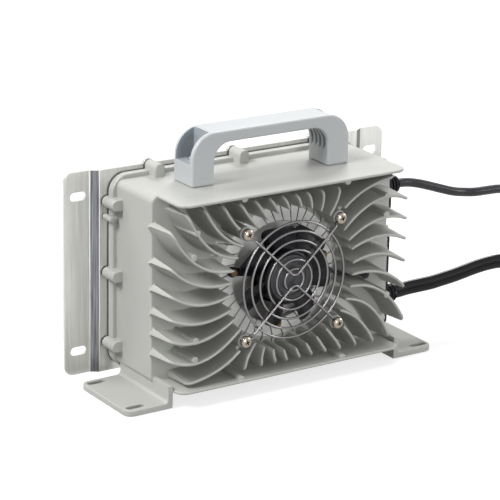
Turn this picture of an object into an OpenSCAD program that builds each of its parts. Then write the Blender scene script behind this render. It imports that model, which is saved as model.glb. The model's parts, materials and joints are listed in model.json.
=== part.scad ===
// Waterproof battery charger, fan cooled, with a swirl-finned cast housing.
// Millimetres. The unit stands on its cast feet at z = 0, its front faces -Y,
// and the origin is under the middle of its outline. Depths are counted from
// the front edge of the cast plates, and heights and widths of the front view
// from the fan's axis.

/* [Housing casting] */
// Width across the side walls
body_w = 183; // [176:1:196]
// Height over the top and bottom plates
body_h = 124.4; // [122:0.2:134]
// Radius of the long edges of the body
body_r = 5; // [3:0.5:7]
// Depth from the plates' front edge to the rear rim
case_depth = 76.2; // [74:0.2:96]
// Depth from the plates' front edge to the finned base
base_y = 27.6; // [26:0.2:30]
// Thickness of the finned base
base_t = 4; // [3:0.5:5]
// Thickness of the side, top and bottom walls
wall_t = 3; // [2:0.5:4]
// Thickness of the forward plates
plate_t = 2; // [1.5:0.1:3]
// Corner radius of the forward plates seen from above
plate_corner_r = 8; // [4:0.5:12]
// Distance of the half-round plate ribs from the middle
plate_rib_x = 39.5; // [30:0.5:44]
// Radius of the half-round plate ribs
plate_rib_r = 2.5; // [1.5:0.1:3]

/* [Rim and rear bosses] */
// How far the rear rim stands out from the walls
rim_out = 3; // [2:0.5:4]
// Length of the rim along the depth
rim_len = 5.7; // [4:0.1:8]
// Corner radius of the rim
rim_r = 12; // [8:0.5:16]
// Half width of a rear screw boss
boss_r = 3.75; // [3.5:0.05:4.2]
// Length of a rear screw boss along the depth
boss_len = 13.5; // [10:0.5:16]
// Distance of the side boss centres from the side walls
boss_out_x = 3.95; // [3.5:0.05:4.2]
// Distance of the top and bottom boss centres from those faces
boss_out_z = 5.05; // [4.6:0.05:5.2]
// Spacing of the bosses along the top and bottom
boss_pitch_x = 64; // [54:1:70]
// Spacing of the bosses along the sides
boss_pitch_z = 47.5; // [42:0.5:50]
// Radius of the tapped hole for a rear screw
boss_bore_r = 1.6; // [1.4:0.05:1.8]
// Depth of the tapped hole for a rear screw
boss_bore_len = 11; // [8:0.5:12]

/* [Cast feet] */
// Clearance under the bottom plate
foot_clear = 10.3; // [8:0.1:14]
// Thickness of the foot flange
foot_t = 4; // [3:0.5:6]
// Thickness of the foot's upright leg
foot_leg_t = 5; // [4:0.5:6]
// How far a foot flange reaches past the side wall
foot_out = 28.3; // [26:0.1:34]
// Depth at which the foot flange starts
foot_y = 8.2; // [5:0.2:12]
// Length of the foot flange along the depth
foot_len = 60.3; // [58:0.1:64]
// Radius of the flange's outer corners
foot_corner_r = 6; // [3:0.5:8]
// Length of a foot slot across the unit
foot_slot_len = 13; // [11:0.5:15]
// Width of a foot slot
foot_slot_w = 4.5; // [4:0.1:5.5]
// Distance of a foot slot's centre from the side wall
foot_slot_x = 19.5; // [17:0.5:21]
// Depth of the front foot slot
foot_slot_y = 14; // [12.5:0.5:18]
// Distance between the front and rear foot slots
foot_slot_pitch = 49; // [45:0.5:50]

/* [Cooling fins] */
// Depth of the fins' front edges
fin_y = 3.5; // [2.5:0.1:5]
// Thickness of a fin at the base
fin_root_t = 4.3; // [3.4:0.1:4.6]
// Thickness of a fin at its front edge
fin_tip_t = 1.9; // [1.4:0.1:2.4]
// Corner radius of a fin's outer end
fin_corner_r = 4; // [2:0.5:5]
// Height of the low rib that runs on from each fin under the fan
fin_tail_h = 4.5; // [2:0.5:6]
// Length of that low rib
fin_tail_len = 13; // [8:1:15]
// Distance of the side fins' ends inside the side walls
fin_side_gap = 0.3; // [0.2:0.1:1]
// Depth of the cut that frees the guard screws from the fins
screw_clear_depth = 5; // [3:0.5:8]
// Radius of that cut
screw_clear_r = 6.8; // [5.5:0.1:8]
// Radius of an ejector boss at its front
ejector_r = 2.1; // [1.6:0.1:2.6]
// Radius of an ejector boss at the base
ejector_root_r = 2.75; // [2.2:0.05:3.2]

/* [Fan guard] */
// Diameter of the guard and ring wire
wire_d = 1.6; // [1.2:0.1:2]
// Radius of the outer guard ring
ring_r = 38.7; // [36:0.1:41]
// Number of guard rings
ring_count = 6; // [4:1:7]
// Spacing of the guard rings
ring_pitch = 6.3; // [5:0.1:6.4]
// Depth of the ring plane
guard_y = 2.7; // [2.2:0.1:4]
// Distance between neighbouring guard screws
guard_pitch = 71.5; // [68:0.5:74]
// Bend radius of the guard's V wires
v_bend_r = 4; // [3:0.5:6]
// How far the V wires' bends lie from the axis
v_bend_z = 2.2; // [1.8:0.1:4]
// Radius of a guard pillar
pillar_r = 4.5; // [4:0.1:5]
// Radius of a guard screw's head
guard_head_r = 4; // [3.5:0.1:4.5]
// Height of a guard screw's head
guard_head_h = 2.6; // [2:0.1:3]
// Radius of a guard screw's shank
guard_shank_r = 1.95; // [1.5:0.05:2.2]
// Length of a guard screw's shank
guard_shank_len = 10; // [6:0.5:14]

/* [Fan] */
// Radius of the impeller over its blades
fan_tip_r = 34; // [30:0.5:36]
// Radius of the impeller hub
hub_r = 18.5; // [17:0.5:20]
// Depth of the hub's front face
hub_y = 6; // [5.5:0.5:9]
// Length of the hub
hub_len = 14; // [13:0.5:14]
// Wall thickness of the hub
hub_wall = 1.5; // [1:0.1:2]
// Number of blades
blade_count = 7; // [5:1:9]
// Thickness of a blade
blade_t = 1.3; // [1:0.1:2]
// Tilt of a blade out of the fan's plane, in degrees
blade_pitch = 32; // [25:1:45]
// Chord of a blade
blade_chord = 17; // [12:0.5:18]
// Thickness of the magnet ring
magnet_t = 2; // [1.5:0.1:3]
// Length of the magnet ring
magnet_len = 9; // [6:0.5:10]
// Radius of the fan's shaft
shaft_r = 1.5; // [1:0.1:2]
// Outer radius of the sleeve bearing
bearing_r = 3; // [2.6:0.1:3.5]
// Radius of the stator
stator_r = 13.5; // [12:0.1:14]
// Length of the stator
stator_len = 7; // [5:0.5:8]
// Thickness of the fan's base plate
fan_base_t = 2; // [1.5:0.1:3]
// Radius of the fan's round base plate
fan_base_r = 20; // [19:0.5:22]
// Distance of the fan's fixing screws from the axis
fan_lug_r = 35.3; // [33:0.1:37]
// Radius of a fixing lug
fan_lug_w = 3.4; // [3:0.1:4]

/* [Handle] */
// Width over the handle
handle_w = 120.4; // [110:0.2:130]
// Height of the handle over the top plate
handle_h = 34.3; // [32:0.1:44]
// Depth at which the handle starts
handle_y = 30.6; // [28:0.2:34]
// Width of the handle along the depth
handle_len = 22.4; // [20:0.2:28]
// Thickness of the grip
grip_t = 7.6; // [6:0.2:9]
// Width of a handle leg
leg_w = 16.7; // [14:0.1:20]
// Outer corner radius of the handle
handle_r = 17; // [14:0.5:18]
// Inner corner radius of the handle
handle_in_r = 12; // [8:0.5:14]
// Height of the screw ledge in a leg
ledge_h = 14.8; // [10:0.2:16]
// Thickness of the ledge
ledge_t = 4; // [3:0.5:6]
// Wall thickness of the handle
handle_wall = 2.8; // [2:0.1:3.5]

/* [Rear cover] */
// Thickness of the cover gasket
gasket_t = 0.8; // [0.5:0.1:1.5]
// Thickness of the back plate
back_t = 1.8; // [1.2:0.1:2.5]
// Overall width over the mounting ears
ear_span = 248.6; // [244:0.2:262]
// Height of the back plate
back_h = 136; // [133:0.5:142]
// How far the ears are set back from the middle of the plate
ear_step = 3.2; // [2.4:0.1:4]
// Width of the slanted fold, measured across the unit
fold_w = 6.8; // [6:0.2:9]
// Corner radius of the ears
ear_r = 6.5; // [4:0.5:8]
// Length of an ear slot across the unit
ear_slot_len = 11.6; // [10:0.2:13]
// Height of an ear slot
ear_slot_w = 5.8; // [5:0.1:6.5]
// Distance of an ear slot's centre from the ear's outer edge
ear_slot_in = 10.2; // [9:0.1:11]
// Distance between the upper and lower ear slots
ear_slot_pitch = 104; // [96:1:108]
// Radius of a rear screw's head
cover_head_r = 3; // [2.6:0.1:3.4]
// Height of a rear screw's head
cover_head_h = 1.8; // [1.4:0.1:2]

/* [Cable side] */
// How far the cast entry pads stand out from the side wall
pad_t = 3; // [2:0.1:3]
// Thickness of the black entry plates
entry_t = 1.8; // [1.5:0.1:2.5]
// Length of the entry plates along the depth
entry_len = 31; // [26:1:32]
// Depth of the entry plates' front edge
entry_start = 30; // [29.5:0.5:32]
// Height of the mains entry plate
ac_plate_h = 30; // [26:1:31]
// Height of the battery entry plate
dc_plate_h = 62; // [50:1:63]
// Height of the mains plate's lower edge above the fan's axis
ac_plate_z = 25; // [23:0.5:26]
// Height of the battery plate's upper edge above the fan's axis
dc_plate_z = 7; // [2:0.5:8]
// Rim of the cast pad left round an entry plate
pad_rim = 2; // [1:0.5:2.5]
// Depth of the middle of the cable entries
entry_y = 41; // [40:0.5:44]
// Distance of each cable entry above or below the fan's axis
entry_z = 38.5; // [36:0.5:40]
// Radius of a cable gland at its root
gland_r = 6.65; // [6:0.05:8]
// Length of a cable gland outside the plate
gland_len = 12; // [10:0.5:16]
// Number of ribs round a gland
gland_ribs = 4; // [2:1:6]
// Diameter of the mains cord
ac_d = 6.2; // [5.8:0.1:6.6]
// Diameter of one core of the twin battery lead
dc_d = 5; // [4.6:0.1:5.2]

/* [Circuit] */
// Width of the circuit board
board_w = 150; // [130:1:156]
// Gap between the board and the heat bar above it
board_gap = 9; // [6:0.5:12]
// Thickness of the circuit board
board_t = 1.6; // [1:0.1:2]
// Height of the board's posts over the base
post_h = 6.5; // [5:0.5:8]
// Radius of a board post
post_r = 3.5; // [3:0.1:4.5]
// Distance of the board screws from the board's edges
post_in = 5; // [4.5:0.5:7]

/* [Hidden] */
$fn = 48;

// Running clearance of loose fits, and the overlap that joins pieces of one casting
fit = 0.1;
bite = 0.5;
wire_bite = 0.2;

// Depth of the whole unit and height of the fan's axis
back_y = case_depth + gasket_t;
total_depth = back_y + ear_step + back_t;
axis_z = foot_clear + body_h / 2;
half_w = body_w / 2;
half_h = body_h / 2;

// Positions of the twelve rear bosses
boss_xz = concat(
    [for (side = [-1, 1], k = [-1, 0, 1]) [side * (half_w + boss_out_x), k * boss_pitch_z]],
    [for (side = [-1, 1], k = [-1, 0, 1]) [k * boss_pitch_x, side * (half_h + boss_out_z)]]);
// Positions of the four guard screws
guard_xz = [for (i = [-1, 1], k = [-1, 1]) [i * guard_pitch / 2, k * guard_pitch / 2]];
// The heat bar hangs below the top wall, and the board fills the height under it
bar_h = 10;
bar_z = half_h - wall_t - 8.2 - bar_h;
board_edge = 3.2;
board_h = bar_z - board_gap + half_h - wall_t - board_edge;
board_dz = bar_z - board_gap - board_h / 2;
board_y = base_y + base_t + post_h;
// Positions of the board screws
board_xz = [for (i = [-1, 1], k = [-1, 1])
    [i * (board_w / 2 - post_in), k * (board_h / 2 - post_in) + board_dz]];

// Centre lines of the fins of one half, as three control points each: the other
// half is the same turned by half a turn. Side fins run to the side walls.
fin_end_x = half_w - fin_side_gap;
FINS = [
    [[-42, 21], [-66, 23.5], [-79.5, 54.5]],
    [[-45, 13], [-74.5, 12], [-fin_end_x, 45]],
    [[-46.5, 5], [-74, 2], [-fin_end_x, 21.5]],
    [[-47, -3], [-71, -11.5], [-fin_end_x, 3.5]],
    [[-45.5, -12.5], [-70.5, -23.5], [-fin_end_x, -12]],
    [[-43, -19], [-69.5, -37], [-fin_end_x, -26]],
    [[-39, -26.5], [-66, -53], [-fin_end_x, -39.5]],
    [[-32.5, -34], [-48, -54.5], [-79, -57]],
    [[-38, 28], [-56, 34], [-67, 56]],
    [[-33, 33.5], [-45, 40.5], [-53, 56]],
    [[-27, 38.5], [-35, 46.5], [-40.5, 56]],
    [[-19.5, 42.5], [-24.5, 49], [-29, 56]],
    [[-11.5, 45.5], [-14.5, 50.5], [-18, 56]],
    [[-3.5, 47], [-5.5, 52], [-8.5, 56]],
    [[5.5, 46.5], [4.5, 52], [1.5, 56]],
    [[13.5, 45], [13.5, 51], [10.5, 56]],
    [[20.5, 42], [24, 51], [21.5, 56]],
    [[27.5, 38], [35.5, 49], [35, 56]]];
// Steps along a fin, and the angles of its rounded outer corner
fin_steps = 6;
fin_corner_angles = [35, 65, 90];
// Positions of the ejector bosses
EJECTORS = [[-72.5, 41.9], [-74.9, 26.3], [-72.6, -29], [-73.2, -41.5],
            [73.1, 44.4], [73.2, 31.9], [75.8, -23.7], [72.7, -39.2]];

// The mains cord from its gland to its hank: x, depth and height over the floor
AC_ROUTE = [[107, 41, 111], [112, 41, 111], [119, 41, 110.2], [127, 40, 108.4], [136, 39, 105.6],
            [145, 38, 102.6], [154, 37, 99.8], [163, 37, 98], [172, 36, 97], [182, 36, 96.6],
            [192, 36, 96.2], [202, 36, 94.6], [211, 36.2, 91], [219, 36.6, 85.4], [226, 37.2, 77.8],
            [232, 38, 68], [237, 39, 57], [242, 40, 45.5], [248, 41.2, 34], [255, 42.4, 23.4],
            [264, 43.6, 13], [275, 44.4, 6.4], [286, 44.8, 3.6], [296, 45, 3.1], [306, 45, 3.1]];
// The battery lead from its gland to its hank
DC_ROUTE = [[107, 41, 34], [114, 41, 34.2], [122, 41, 34.8], [131, 40, 35.4], [140, 39, 36],
            [149, 38.6, 37], [158, 38, 38.2], [167, 37.4, 39.8], [176, 37, 41.4], [185, 36, 42.8],
            [194, 35, 43.4], [203, 34, 42.6], [212, 33.6, 39.8], [221, 33.8, 35], [230, 34.4, 28.8],
            [240, 35.2, 21], [250, 36, 13.6], [261, 36.8, 8.4], [273, 37.3, 5.8], [286, 37.5, 5.1],
            [306, 37.5, 5]];

// The mains hank: loops with round ends, side by side and in layers, as long as the
// straight part between the ends, and with the outermost loop's end radius
ac_hank_x = 306;
ac_hank_straight = 106;
ac_hank_r = 25;
ac_hank_across = 2;
ac_hank_layers = 2;
// The battery lead's hank, with the lead's width upright
dc_hank_x = 306;
dc_hank_straight = 106;
dc_hank_r = 22.5;
dc_hank_across = 2;
dc_hank_layers = 2;
// The way of each cord from the end of its last loop over the hank to its end piece
AC_TAIL = [[0, 0, 0], [7, 0.3, 2.2], [14, 2.2, 5], [20, 6.4, 6.5], [26, 12, 6.6], [32, 17.8, 5.4],
           [38, 22.4, 3.2], [43, 24.6, 2], [47, 25, 1.7]];
DC_TAIL = [[0, 0, 0], [8, 0, 2.6], [15, 0.1, 7], [21, 1.4, 10], [27, 5, 10.6], [33, 10.4, 9.2],
           [39, 15.6, 3.4], [45, 19.6, -2.2], [51, 22, -5.8], [57, 22.5, -6.8], [61, 22.5, -6.8]];
cord_sides = 10;

// Rings of a swept tube: flow is the direction along the route at each point
function unit(v) = v / norm(v);
function flow(p, i) = unit(p[min(i + 1, len(p) - 1)] - p[max(i - 1, 0)]);
function level(d) = unit(cross(d, [0, 0, 1]));

// Point, direction and left-hand normal on a fin's centre line
function fin_at(f, t) = (1 - t) * (1 - t) * f[0] + 2 * t * (1 - t) * f[1] + t * t * f[2];
function fin_way(f, t) = unit((1 - t) * (f[1] - f[0]) + t * (f[2] - f[1]));
function fin_side(f, t) = [-fin_way(f, t)[1], fin_way(f, t)[0]];
function fin_corner_share(f) = fin_corner_r / norm(f[2] - f[0]);

// One station of a fin: point, side, half thickness at root and tip, depth of its front edge
function fin_tail_station(f, back, half) =
    [fin_at(f, 0) - back * fin_way(f, 0), fin_side(f, 0), half, half * 0.8, base_y - fin_tail_h];
function fin_station(f, t, drop) =
    [fin_at(f, t), fin_side(f, t), fin_root_t / 2, fin_tip_t / 2, fin_y + drop];
function fin_stations(f) = concat(
    [fin_tail_station(f, fin_tail_len, fin_root_t / 4),
     fin_tail_station(f, fin_tail_len / 2, fin_root_t / 3),
     fin_tail_station(f, 1.2, fin_root_t / 2.4)],
    [for (i = [0:fin_steps]) fin_station(f, i / fin_steps * (1 - fin_corner_share(f)), 0)],
    [for (a = fin_corner_angles)
        fin_station(f, 1 - fin_corner_share(f) * (1 - sin(a)), fin_corner_r * (1 - cos(a)))]);
function fin_ring(s) = [
    [s[0][0] + s[2] * s[1][0], base_y + bite, s[0][1] + s[2] * s[1][1]],
    [s[0][0] - s[2] * s[1][0], base_y + bite, s[0][1] - s[2] * s[1][1]],
    [s[0][0] - s[3] * s[1][0], s[4], s[0][1] - s[3] * s[1][1]],
    [s[0][0] + s[3] * s[1][0], s[4], s[0][1] + s[3] * s[1][1]]];

// Faces of a tube of rings with n points each
function tube_faces(rings, n) = concat(
    [[for (j = [n - 1:-1:0]) j]],
    [for (i = [0:rings - 2], j = [0:n - 1])
        [i * n + j, i * n + (j + 1) % n, (i + 1) * n + (j + 1) % n, (i + 1) * n + j]],
    [[for (j = [0:n - 1]) (rings - 1) * n + j]]);

// Turns an outline of the front view into a block from one depth to another
module block(y0, y1) {
    translate([0, y1 - total_depth / 2, axis_z]) rotate([90, 0, 0]) linear_extrude(y1 - y0) children();
}

// Places upright geometry by depth and by height over the fan's axis
module place(x, y, z) {
    translate([x, y - total_depth / 2, axis_z + z]) children();
}

// A cylinder along the depth, from one depth to another
module rod(x, z, y0, y1, r) {
    place(x, y1, z) rotate([90, 0, 0]) cylinder(h = y1 - y0, r = r);
}

// A rectangle with round corners, and a straight slot with round ends
module rounded(w, h, r) {
    square([w - 2 * r, h], center = true);
    square([w, h - 2 * r], center = true);
    for (i = [-1, 1], k = [-1, 1]) translate([i * (w / 2 - r), k * (h / 2 - r)]) circle(r);
}

module slot(length, width) {
    square([length - width, width], center = true);
    for (i = [-1, 1]) translate([i * (length - width) / 2, 0]) circle(width / 2);
}

// The forward plates: the flat stretch of the body between its rounded edges
module plate_outline() {
    w = half_w - body_r;
    translate([-w, plate_corner_r]) square([2 * w, base_y + bite - plate_corner_r]);
    translate([-w + plate_corner_r, 0]) square([2 * (w - plate_corner_r), base_y + bite]);
    for (i = [-1, 1]) translate([i * (w - plate_corner_r), plate_corner_r]) circle(plate_corner_r);
}

module plates() {
    for (side = [-1, 1]) {
        place(0, 0, side * (half_h - plate_t / 2)) translate([0, 0, -plate_t / 2])
            linear_extrude(plate_t) plate_outline();
        for (i = [-1, 1]) rod(i * plate_rib_x, side * (half_h - plate_t), 1, base_y + bite, plate_rib_r);
    }
}

module fin(f) {
    rings = [for (s = fin_stations(f)) each fin_ring(s)];
    place(0, 0, 0) polyhedron(rings, tube_faces(len(rings) / 4, 4), 4);
}

module fins() {
    for (turn = [0, 180]) translate([0, 0, axis_z]) rotate([0, turn, 0]) translate([0, 0, -axis_z])
        for (f = FINS) fin(f);
}

module boss_outline(at) {
    sideways = abs(at[0]) > half_w;
    reach = (sideways ? boss_out_x : boss_out_z) + bite;
    translate(at) circle(boss_r);
    if (sideways) translate([at[0] - (at[0] > 0 ? reach : 0), at[1] - boss_r]) square([reach, 2 * boss_r]);
    else translate([at[0] - boss_r, at[1] - (at[1] > 0 ? reach : 0)]) square([2 * boss_r, reach]);
}

module foot_outline() {
    inner = half_w - foot_leg_t;
    outer = half_w + foot_out;
    translate([inner, foot_y]) square([outer - inner - foot_corner_r, foot_len]);
    translate([inner, foot_y + foot_corner_r]) square([outer - inner, foot_len - 2 * foot_corner_r]);
    for (y = [foot_y + foot_corner_r, foot_y + foot_len - foot_corner_r])
        translate([outer - foot_corner_r, y]) circle(foot_corner_r);
}

module foot() {
    translate([0, -total_depth / 2, 0]) difference() {
        union() {
            linear_extrude(foot_t) foot_outline();
            translate([half_w - foot_leg_t, foot_y, 0])
                cube([foot_leg_t - 1.5, foot_len, foot_clear + body_r + bite]);
        }
        for (k = [0, 1]) translate([half_w + foot_slot_x, foot_slot_y + k * foot_slot_pitch, -1])
            linear_extrude(foot_t + 2) slot(foot_slot_len, foot_slot_w);
    }
}

// A small peg on the rim, under the top left boss
peg_r = 2;
peg_len = 9.3;
peg_z = 37.5;

module housing() {
    color([0.76, 0.76, 0.74]) difference() {
        union() {
            difference() {
                union() {
                    block(base_y, case_depth) rounded(body_w, body_h, body_r);
                    block(case_depth - rim_len, case_depth)
                        rounded(body_w + 2 * rim_out, body_h + 2 * rim_out, rim_r);
                    for (at = boss_xz) block(case_depth - boss_len, case_depth) boss_outline(at);
                }
                block(base_y + base_t, case_depth + 1)
                    rounded(body_w - 2 * wall_t, body_h - 2 * wall_t, body_r - 1);
            }
            plates();
            for (at = entry_plates) entry_pad(at, pad_t + bite, half_w - bite, pad_rim);
            difference() {
                fins();
                for (at = guard_xz) rod(at[0], at[1], 0, fin_y + screw_clear_depth, screw_clear_r);
            }
            for (at = guard_xz) rod(at[0], at[1], pillar_y, base_y + bite, pillar_r);
            for (at = EJECTORS) place(at[0], base_y + bite, at[1]) rotate([90, 0, 0])
                cylinder(h = base_y + bite - fin_y - 0.2, r1 = ejector_root_r, r2 = ejector_r);
            for (turn = [0, 180]) rotate([0, 0, turn]) mirror([0, turn / 180, 0]) foot();
            for (at = board_xz) rod(at[0], at[1], base_y + base_t - bite, board_y, post_r);
            block(case_depth - peg_len, case_depth) translate([-half_w - rim_out - peg_r, peg_z]) {
                circle(peg_r);
                translate([0, -peg_r / 2]) square([peg_r + bite, peg_r]);
            }
            for (i = [-1, 1]) rod(i * fan_lug_x, fan_lug_z, fan_base_y + fan_base_t, base_y + bite, fan_lug_w);
            rod(0, -fan_lug_r, fan_base_y + fan_base_t, base_y + bite, fan_lug_w);
        }
        for (at = boss_xz) rod(at[0], at[1], case_depth - boss_bore_len, case_depth + 1, boss_bore_r);
        for (at = guard_xz) rod(at[0], at[1], pillar_y - 1, pillar_y + guard_shank_len + 1, guard_shank_r + fit / 2);
        for (at = board_xz) rod(at[0], at[1], board_y - post_h, board_y + 1, board_bore_r);
        for (i = [-1, 1]) rod(i * fan_lug_x, fan_lug_z, fan_base_y, fan_base_y + 6, fan_bore_r);
        rod(0, -fan_lug_r, fan_base_y, fan_base_y + 6, fan_bore_r);
        for (i = [-1, 1]) place(i * handle_screw_x, handle_mid_y, half_h - wall_t - 1)
            cylinder(h = wall_t + 2, r = handle_shank_r + fit);
        for (z = [entry_z, -entry_z]) place(half_w - wall_t - 1, entry_y, z) rotate([0, 90, 0])
            cylinder(h = wall_t + pad_t + 2, r = gland_neck_r + fit);
        place(grommet_x, base_y - 1, grommet_z) rotate([-90, 0, 0])
            cylinder(h = base_t + 2, r = grommet_r);
        for (at = entry_screw_at) place(half_w + pad_t - entry_screw_len - 0.5, at[0], at[1]) rotate([0, 90, 0])
            cylinder(h = entry_screw_len + 1, r = entry_shank_r + fit / 2);
    }
}

// Guard pillars end where the guard's eyelets rest on them
pillar_y = guard_y + 1.5 * wire_d - wire_bite;
board_bore_r = 1.3;

// The fan stands on three lugs, two above and one below the axis
fan_base_y = base_y - fin_tail_h - 2.5;
fan_lug_x = fan_lug_r * cos(9);
fan_lug_z = fan_lug_r * sin(9);
fan_bore_r = 1.25;

// The handle's screws pass its ledges and the top wall
handle_mid_y = handle_y + handle_len / 2;
handle_screw_x = handle_w / 2 - leg_w / 2;
handle_shank_r = 2;

// Entry of the fan's lead through the base
grommet_x = 74.5;
grommet_z = -16.3;
grommet_r = 2.1;

// Glands: neck through the wall. Entry plates: lower edge and height of each, and
// the screws near their corners
gland_neck_r = 5;
entry_shank_r = 1.4;
entry_screw_len = 4.5;
entry_screw_in = 4;
entry_plates = [[ac_plate_z, ac_plate_h], [dc_plate_z - dc_plate_h, dc_plate_h]];
entry_screw_at = [for (p = entry_plates, y = [entry_start + entry_screw_in, entry_start + entry_len - entry_screw_in],
        z = [p[0] + entry_screw_in, p[0] + p[1] - entry_screw_in]) [y, z]];

// A flat pad or plate on the cable side, grown by a rim all round
module entry_pad(p, t, x, grow) {
    place(x, entry_start + entry_len / 2, p[0] + p[1] / 2) rotate([90, 0, 90]) linear_extrude(t)
        rounded(entry_len + 2 * grow, p[1] + 2 * grow, 2 + grow);
}

module cover_gasket() {
    color([0.1, 0.1, 0.11]) block(case_depth, back_y) difference() {
        union() {
            rounded(body_w + 2 * rim_out, body_h + 2 * rim_out, rim_r);
            for (at = boss_xz) boss_outline(at);
        }
        rounded(body_w - 2 * wall_t, body_h - 2 * wall_t, body_r - 1);
        for (at = boss_xz) translate(at) circle(boss_bore_r + 2 * fit);
    }
}

// Section of the back plate seen from above, with its smooth step to the ears
fold_x = half_w + boss_out_x + cover_head_r + 1.15;
fold_steps = 8;
function fold_y(s) = ear_step * (1 - cos(180 * s)) / 2;
function fold_line(t) = concat(
    [for (i = [0:fold_steps]) [fold_x + fold_w * i / fold_steps, fold_y(i / fold_steps) + t]],
    [[ear_span / 2, ear_step + t]]);
function backwards(p) = [for (i = [len(p) - 1:-1:0]) p[i]];
function mirrored(p) = [for (q = p) [-q[0], q[1]]];

module back_section() {
    front = fold_line(0);
    rear = fold_line(back_t);
    polygon(concat(front, backwards(rear), mirrored(rear), backwards(mirrored(front))));
}

module back_plate() {
    color([0.72, 0.72, 0.73]) difference() {
        intersection() {
            translate([0, back_y - total_depth / 2, 0]) linear_extrude(axis_z + back_h) back_section();
            block(back_y - 1, total_depth + 1) {
                rounded(ear_span, back_h, ear_r);
                for (at = boss_xz) if (abs(at[0]) < half_w) boss_outline(at);
            }
        }
        for (i = [-1, 1], k = [-1, 1]) place(i * (ear_span / 2 - ear_slot_in), total_depth + 1, k * ear_slot_pitch / 2)
            rotate([90, 0, 0]) linear_extrude(back_t + 4) slot(ear_slot_len, ear_slot_w);
        for (at = boss_xz) rod(at[0], at[1], back_y - 1, total_depth + 1, cover_shank_r + 3 * fit);
    }
}

cover_shank_r = boss_bore_r - fit / 2;

module back_screws() {
    color([0.8, 0.8, 0.8]) for (at = boss_xz) {
        rod(at[0], at[1], back_y + back_t, back_y + back_t + cover_head_h, cover_head_r);
        rod(at[0], at[1], case_depth - boss_bore_len + 2, back_y + back_t + bite, cover_shank_r);
    }
}

module handle_outline() {
    w = handle_w / 2;
    difference() {
        union() {
            translate([-w, half_h]) square([handle_w, handle_h - handle_r]);
            translate([-w + handle_r, half_h]) square([handle_w - 2 * handle_r, handle_h]);
            for (i = [-1, 1]) translate([i * (w - handle_r), half_h + handle_h - handle_r]) circle(handle_r);
        }
        inner = w - leg_w;
        top = half_h + handle_h - grip_t;
        translate([-inner, half_h - 1]) square([2 * inner, top - handle_in_r - half_h + 1]);
        translate([-inner + handle_in_r, half_h - 1]) square([2 * (inner - handle_in_r), top - half_h + 1]);
        for (i = [-1, 1]) translate([i * (inner - handle_in_r), top - handle_in_r]) circle(handle_in_r);
    }
}

module handle() {
    pocket_x = handle_w / 2 - leg_w + handle_wall;
    color([0.74, 0.76, 0.79]) difference() {
        block(handle_y, handle_y + handle_len) handle_outline();
        for (i = [-1, 1]) {
            place(i * (pocket_x + leg_w / 2), handle_mid_y, half_h + ledge_h + handle_h / 2)
                cube([leg_w, handle_len - 2 * handle_wall, handle_h], center = true);
            place(i * handle_screw_x, handle_mid_y, half_h - 1)
                cylinder(h = ledge_h + 2, r = handle_shank_r + 2 * fit);
            place(i * handle_screw_x, handle_mid_y, half_h + (ledge_h - ledge_t) / 2 - bite)
                cube([leg_w - 2 * handle_wall, handle_len - 2 * handle_wall, ledge_h - ledge_t + 1], center = true);
        }
    }
}

module handle_screws() {
    head_z = half_h + ledge_h;
    color([0.75, 0.75, 0.76]) for (i = [-1, 1]) place(i * handle_screw_x, handle_mid_y, 0) {
        difference() {
            translate([0, 0, head_z]) cylinder(h = 2.6, r = 3.8);
            translate([0, 0, head_z + 1.4]) for (turn = [0, 90]) rotate(turn)
                translate([-2.2, -0.4, 0]) cube([4.4, 0.8, 2]);
        }
        translate([0, 0, half_h - wall_t - 5]) cylinder(h = head_z - half_h + wall_t + 5 + bite, r = handle_shank_r);
        translate([0, 0, half_h - wall_t - 3.2]) cylinder(h = 3.2, r = 4, $fn = 6);
    }
}

// The fan: a flat base with three arms, a stator round a sleeve bearing, and an
// impeller whose hub carries the magnet ring and the shaft
module fan_base() {
    color([0.16, 0.16, 0.17]) difference() {
        union() {
            rod(0, 0, fan_base_y, fan_base_y + fan_base_t, fan_base_r);
            rod(0, 0, fan_base_y - 3, fan_base_y + bite, bearing_r + 1.5);
            block(fan_base_y, fan_base_y + fan_base_t) {
                for (i = [-1, 1]) {
                    translate([i * fan_lug_x, fan_lug_z]) circle(fan_lug_w);
                    rotate(i > 0 ? 9 : 171) translate([hub_r - 2, -2.5]) square([fan_lug_r - hub_r + 2, 5]);
                }
                translate([0, -fan_lug_r]) circle(fan_lug_w);
                translate([-2.5, -fan_lug_r]) square([5, fan_lug_r - hub_r + 2]);
            }
        }
        rod(0, 0, fan_base_y - 4, fan_base_y + fan_base_t + 1, bearing_r + fit / 2);
        for (i = [-1, 1]) rod(i * fan_lug_x, fan_lug_z, fan_base_y - 1, fan_base_y + fan_base_t + 1, fan_bore_r + fit);
        rod(0, -fan_lug_r, fan_base_y - 1, fan_base_y + fan_base_t + 1, fan_bore_r + fit);
    }
}

module fan_screws() {
    places = [[-fan_lug_x, fan_lug_z], [fan_lug_x, fan_lug_z], [0, -fan_lug_r]];
    color([0.8, 0.66, 0.36]) for (at = places) {
        rod(at[0], at[1], fan_base_y - 1.4, fan_base_y, 2.4);
        rod(at[0], at[1], fan_base_y - bite, fan_base_y + 5, fan_bore_r - fit / 2);
    }
}

module sleeve_bearing() {
    color([0.72, 0.55, 0.3]) difference() {
        rod(0, 0, bearing_front, fan_base_y + fan_base_t, bearing_r);
        rod(0, 0, bearing_front - 1, fan_base_y + fan_base_t + 1, shaft_r + 0.04);
    }
}

hub_rear = hub_y + hub_len;
bearing_front = hub_y + hub_wall + 1.5;

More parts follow.
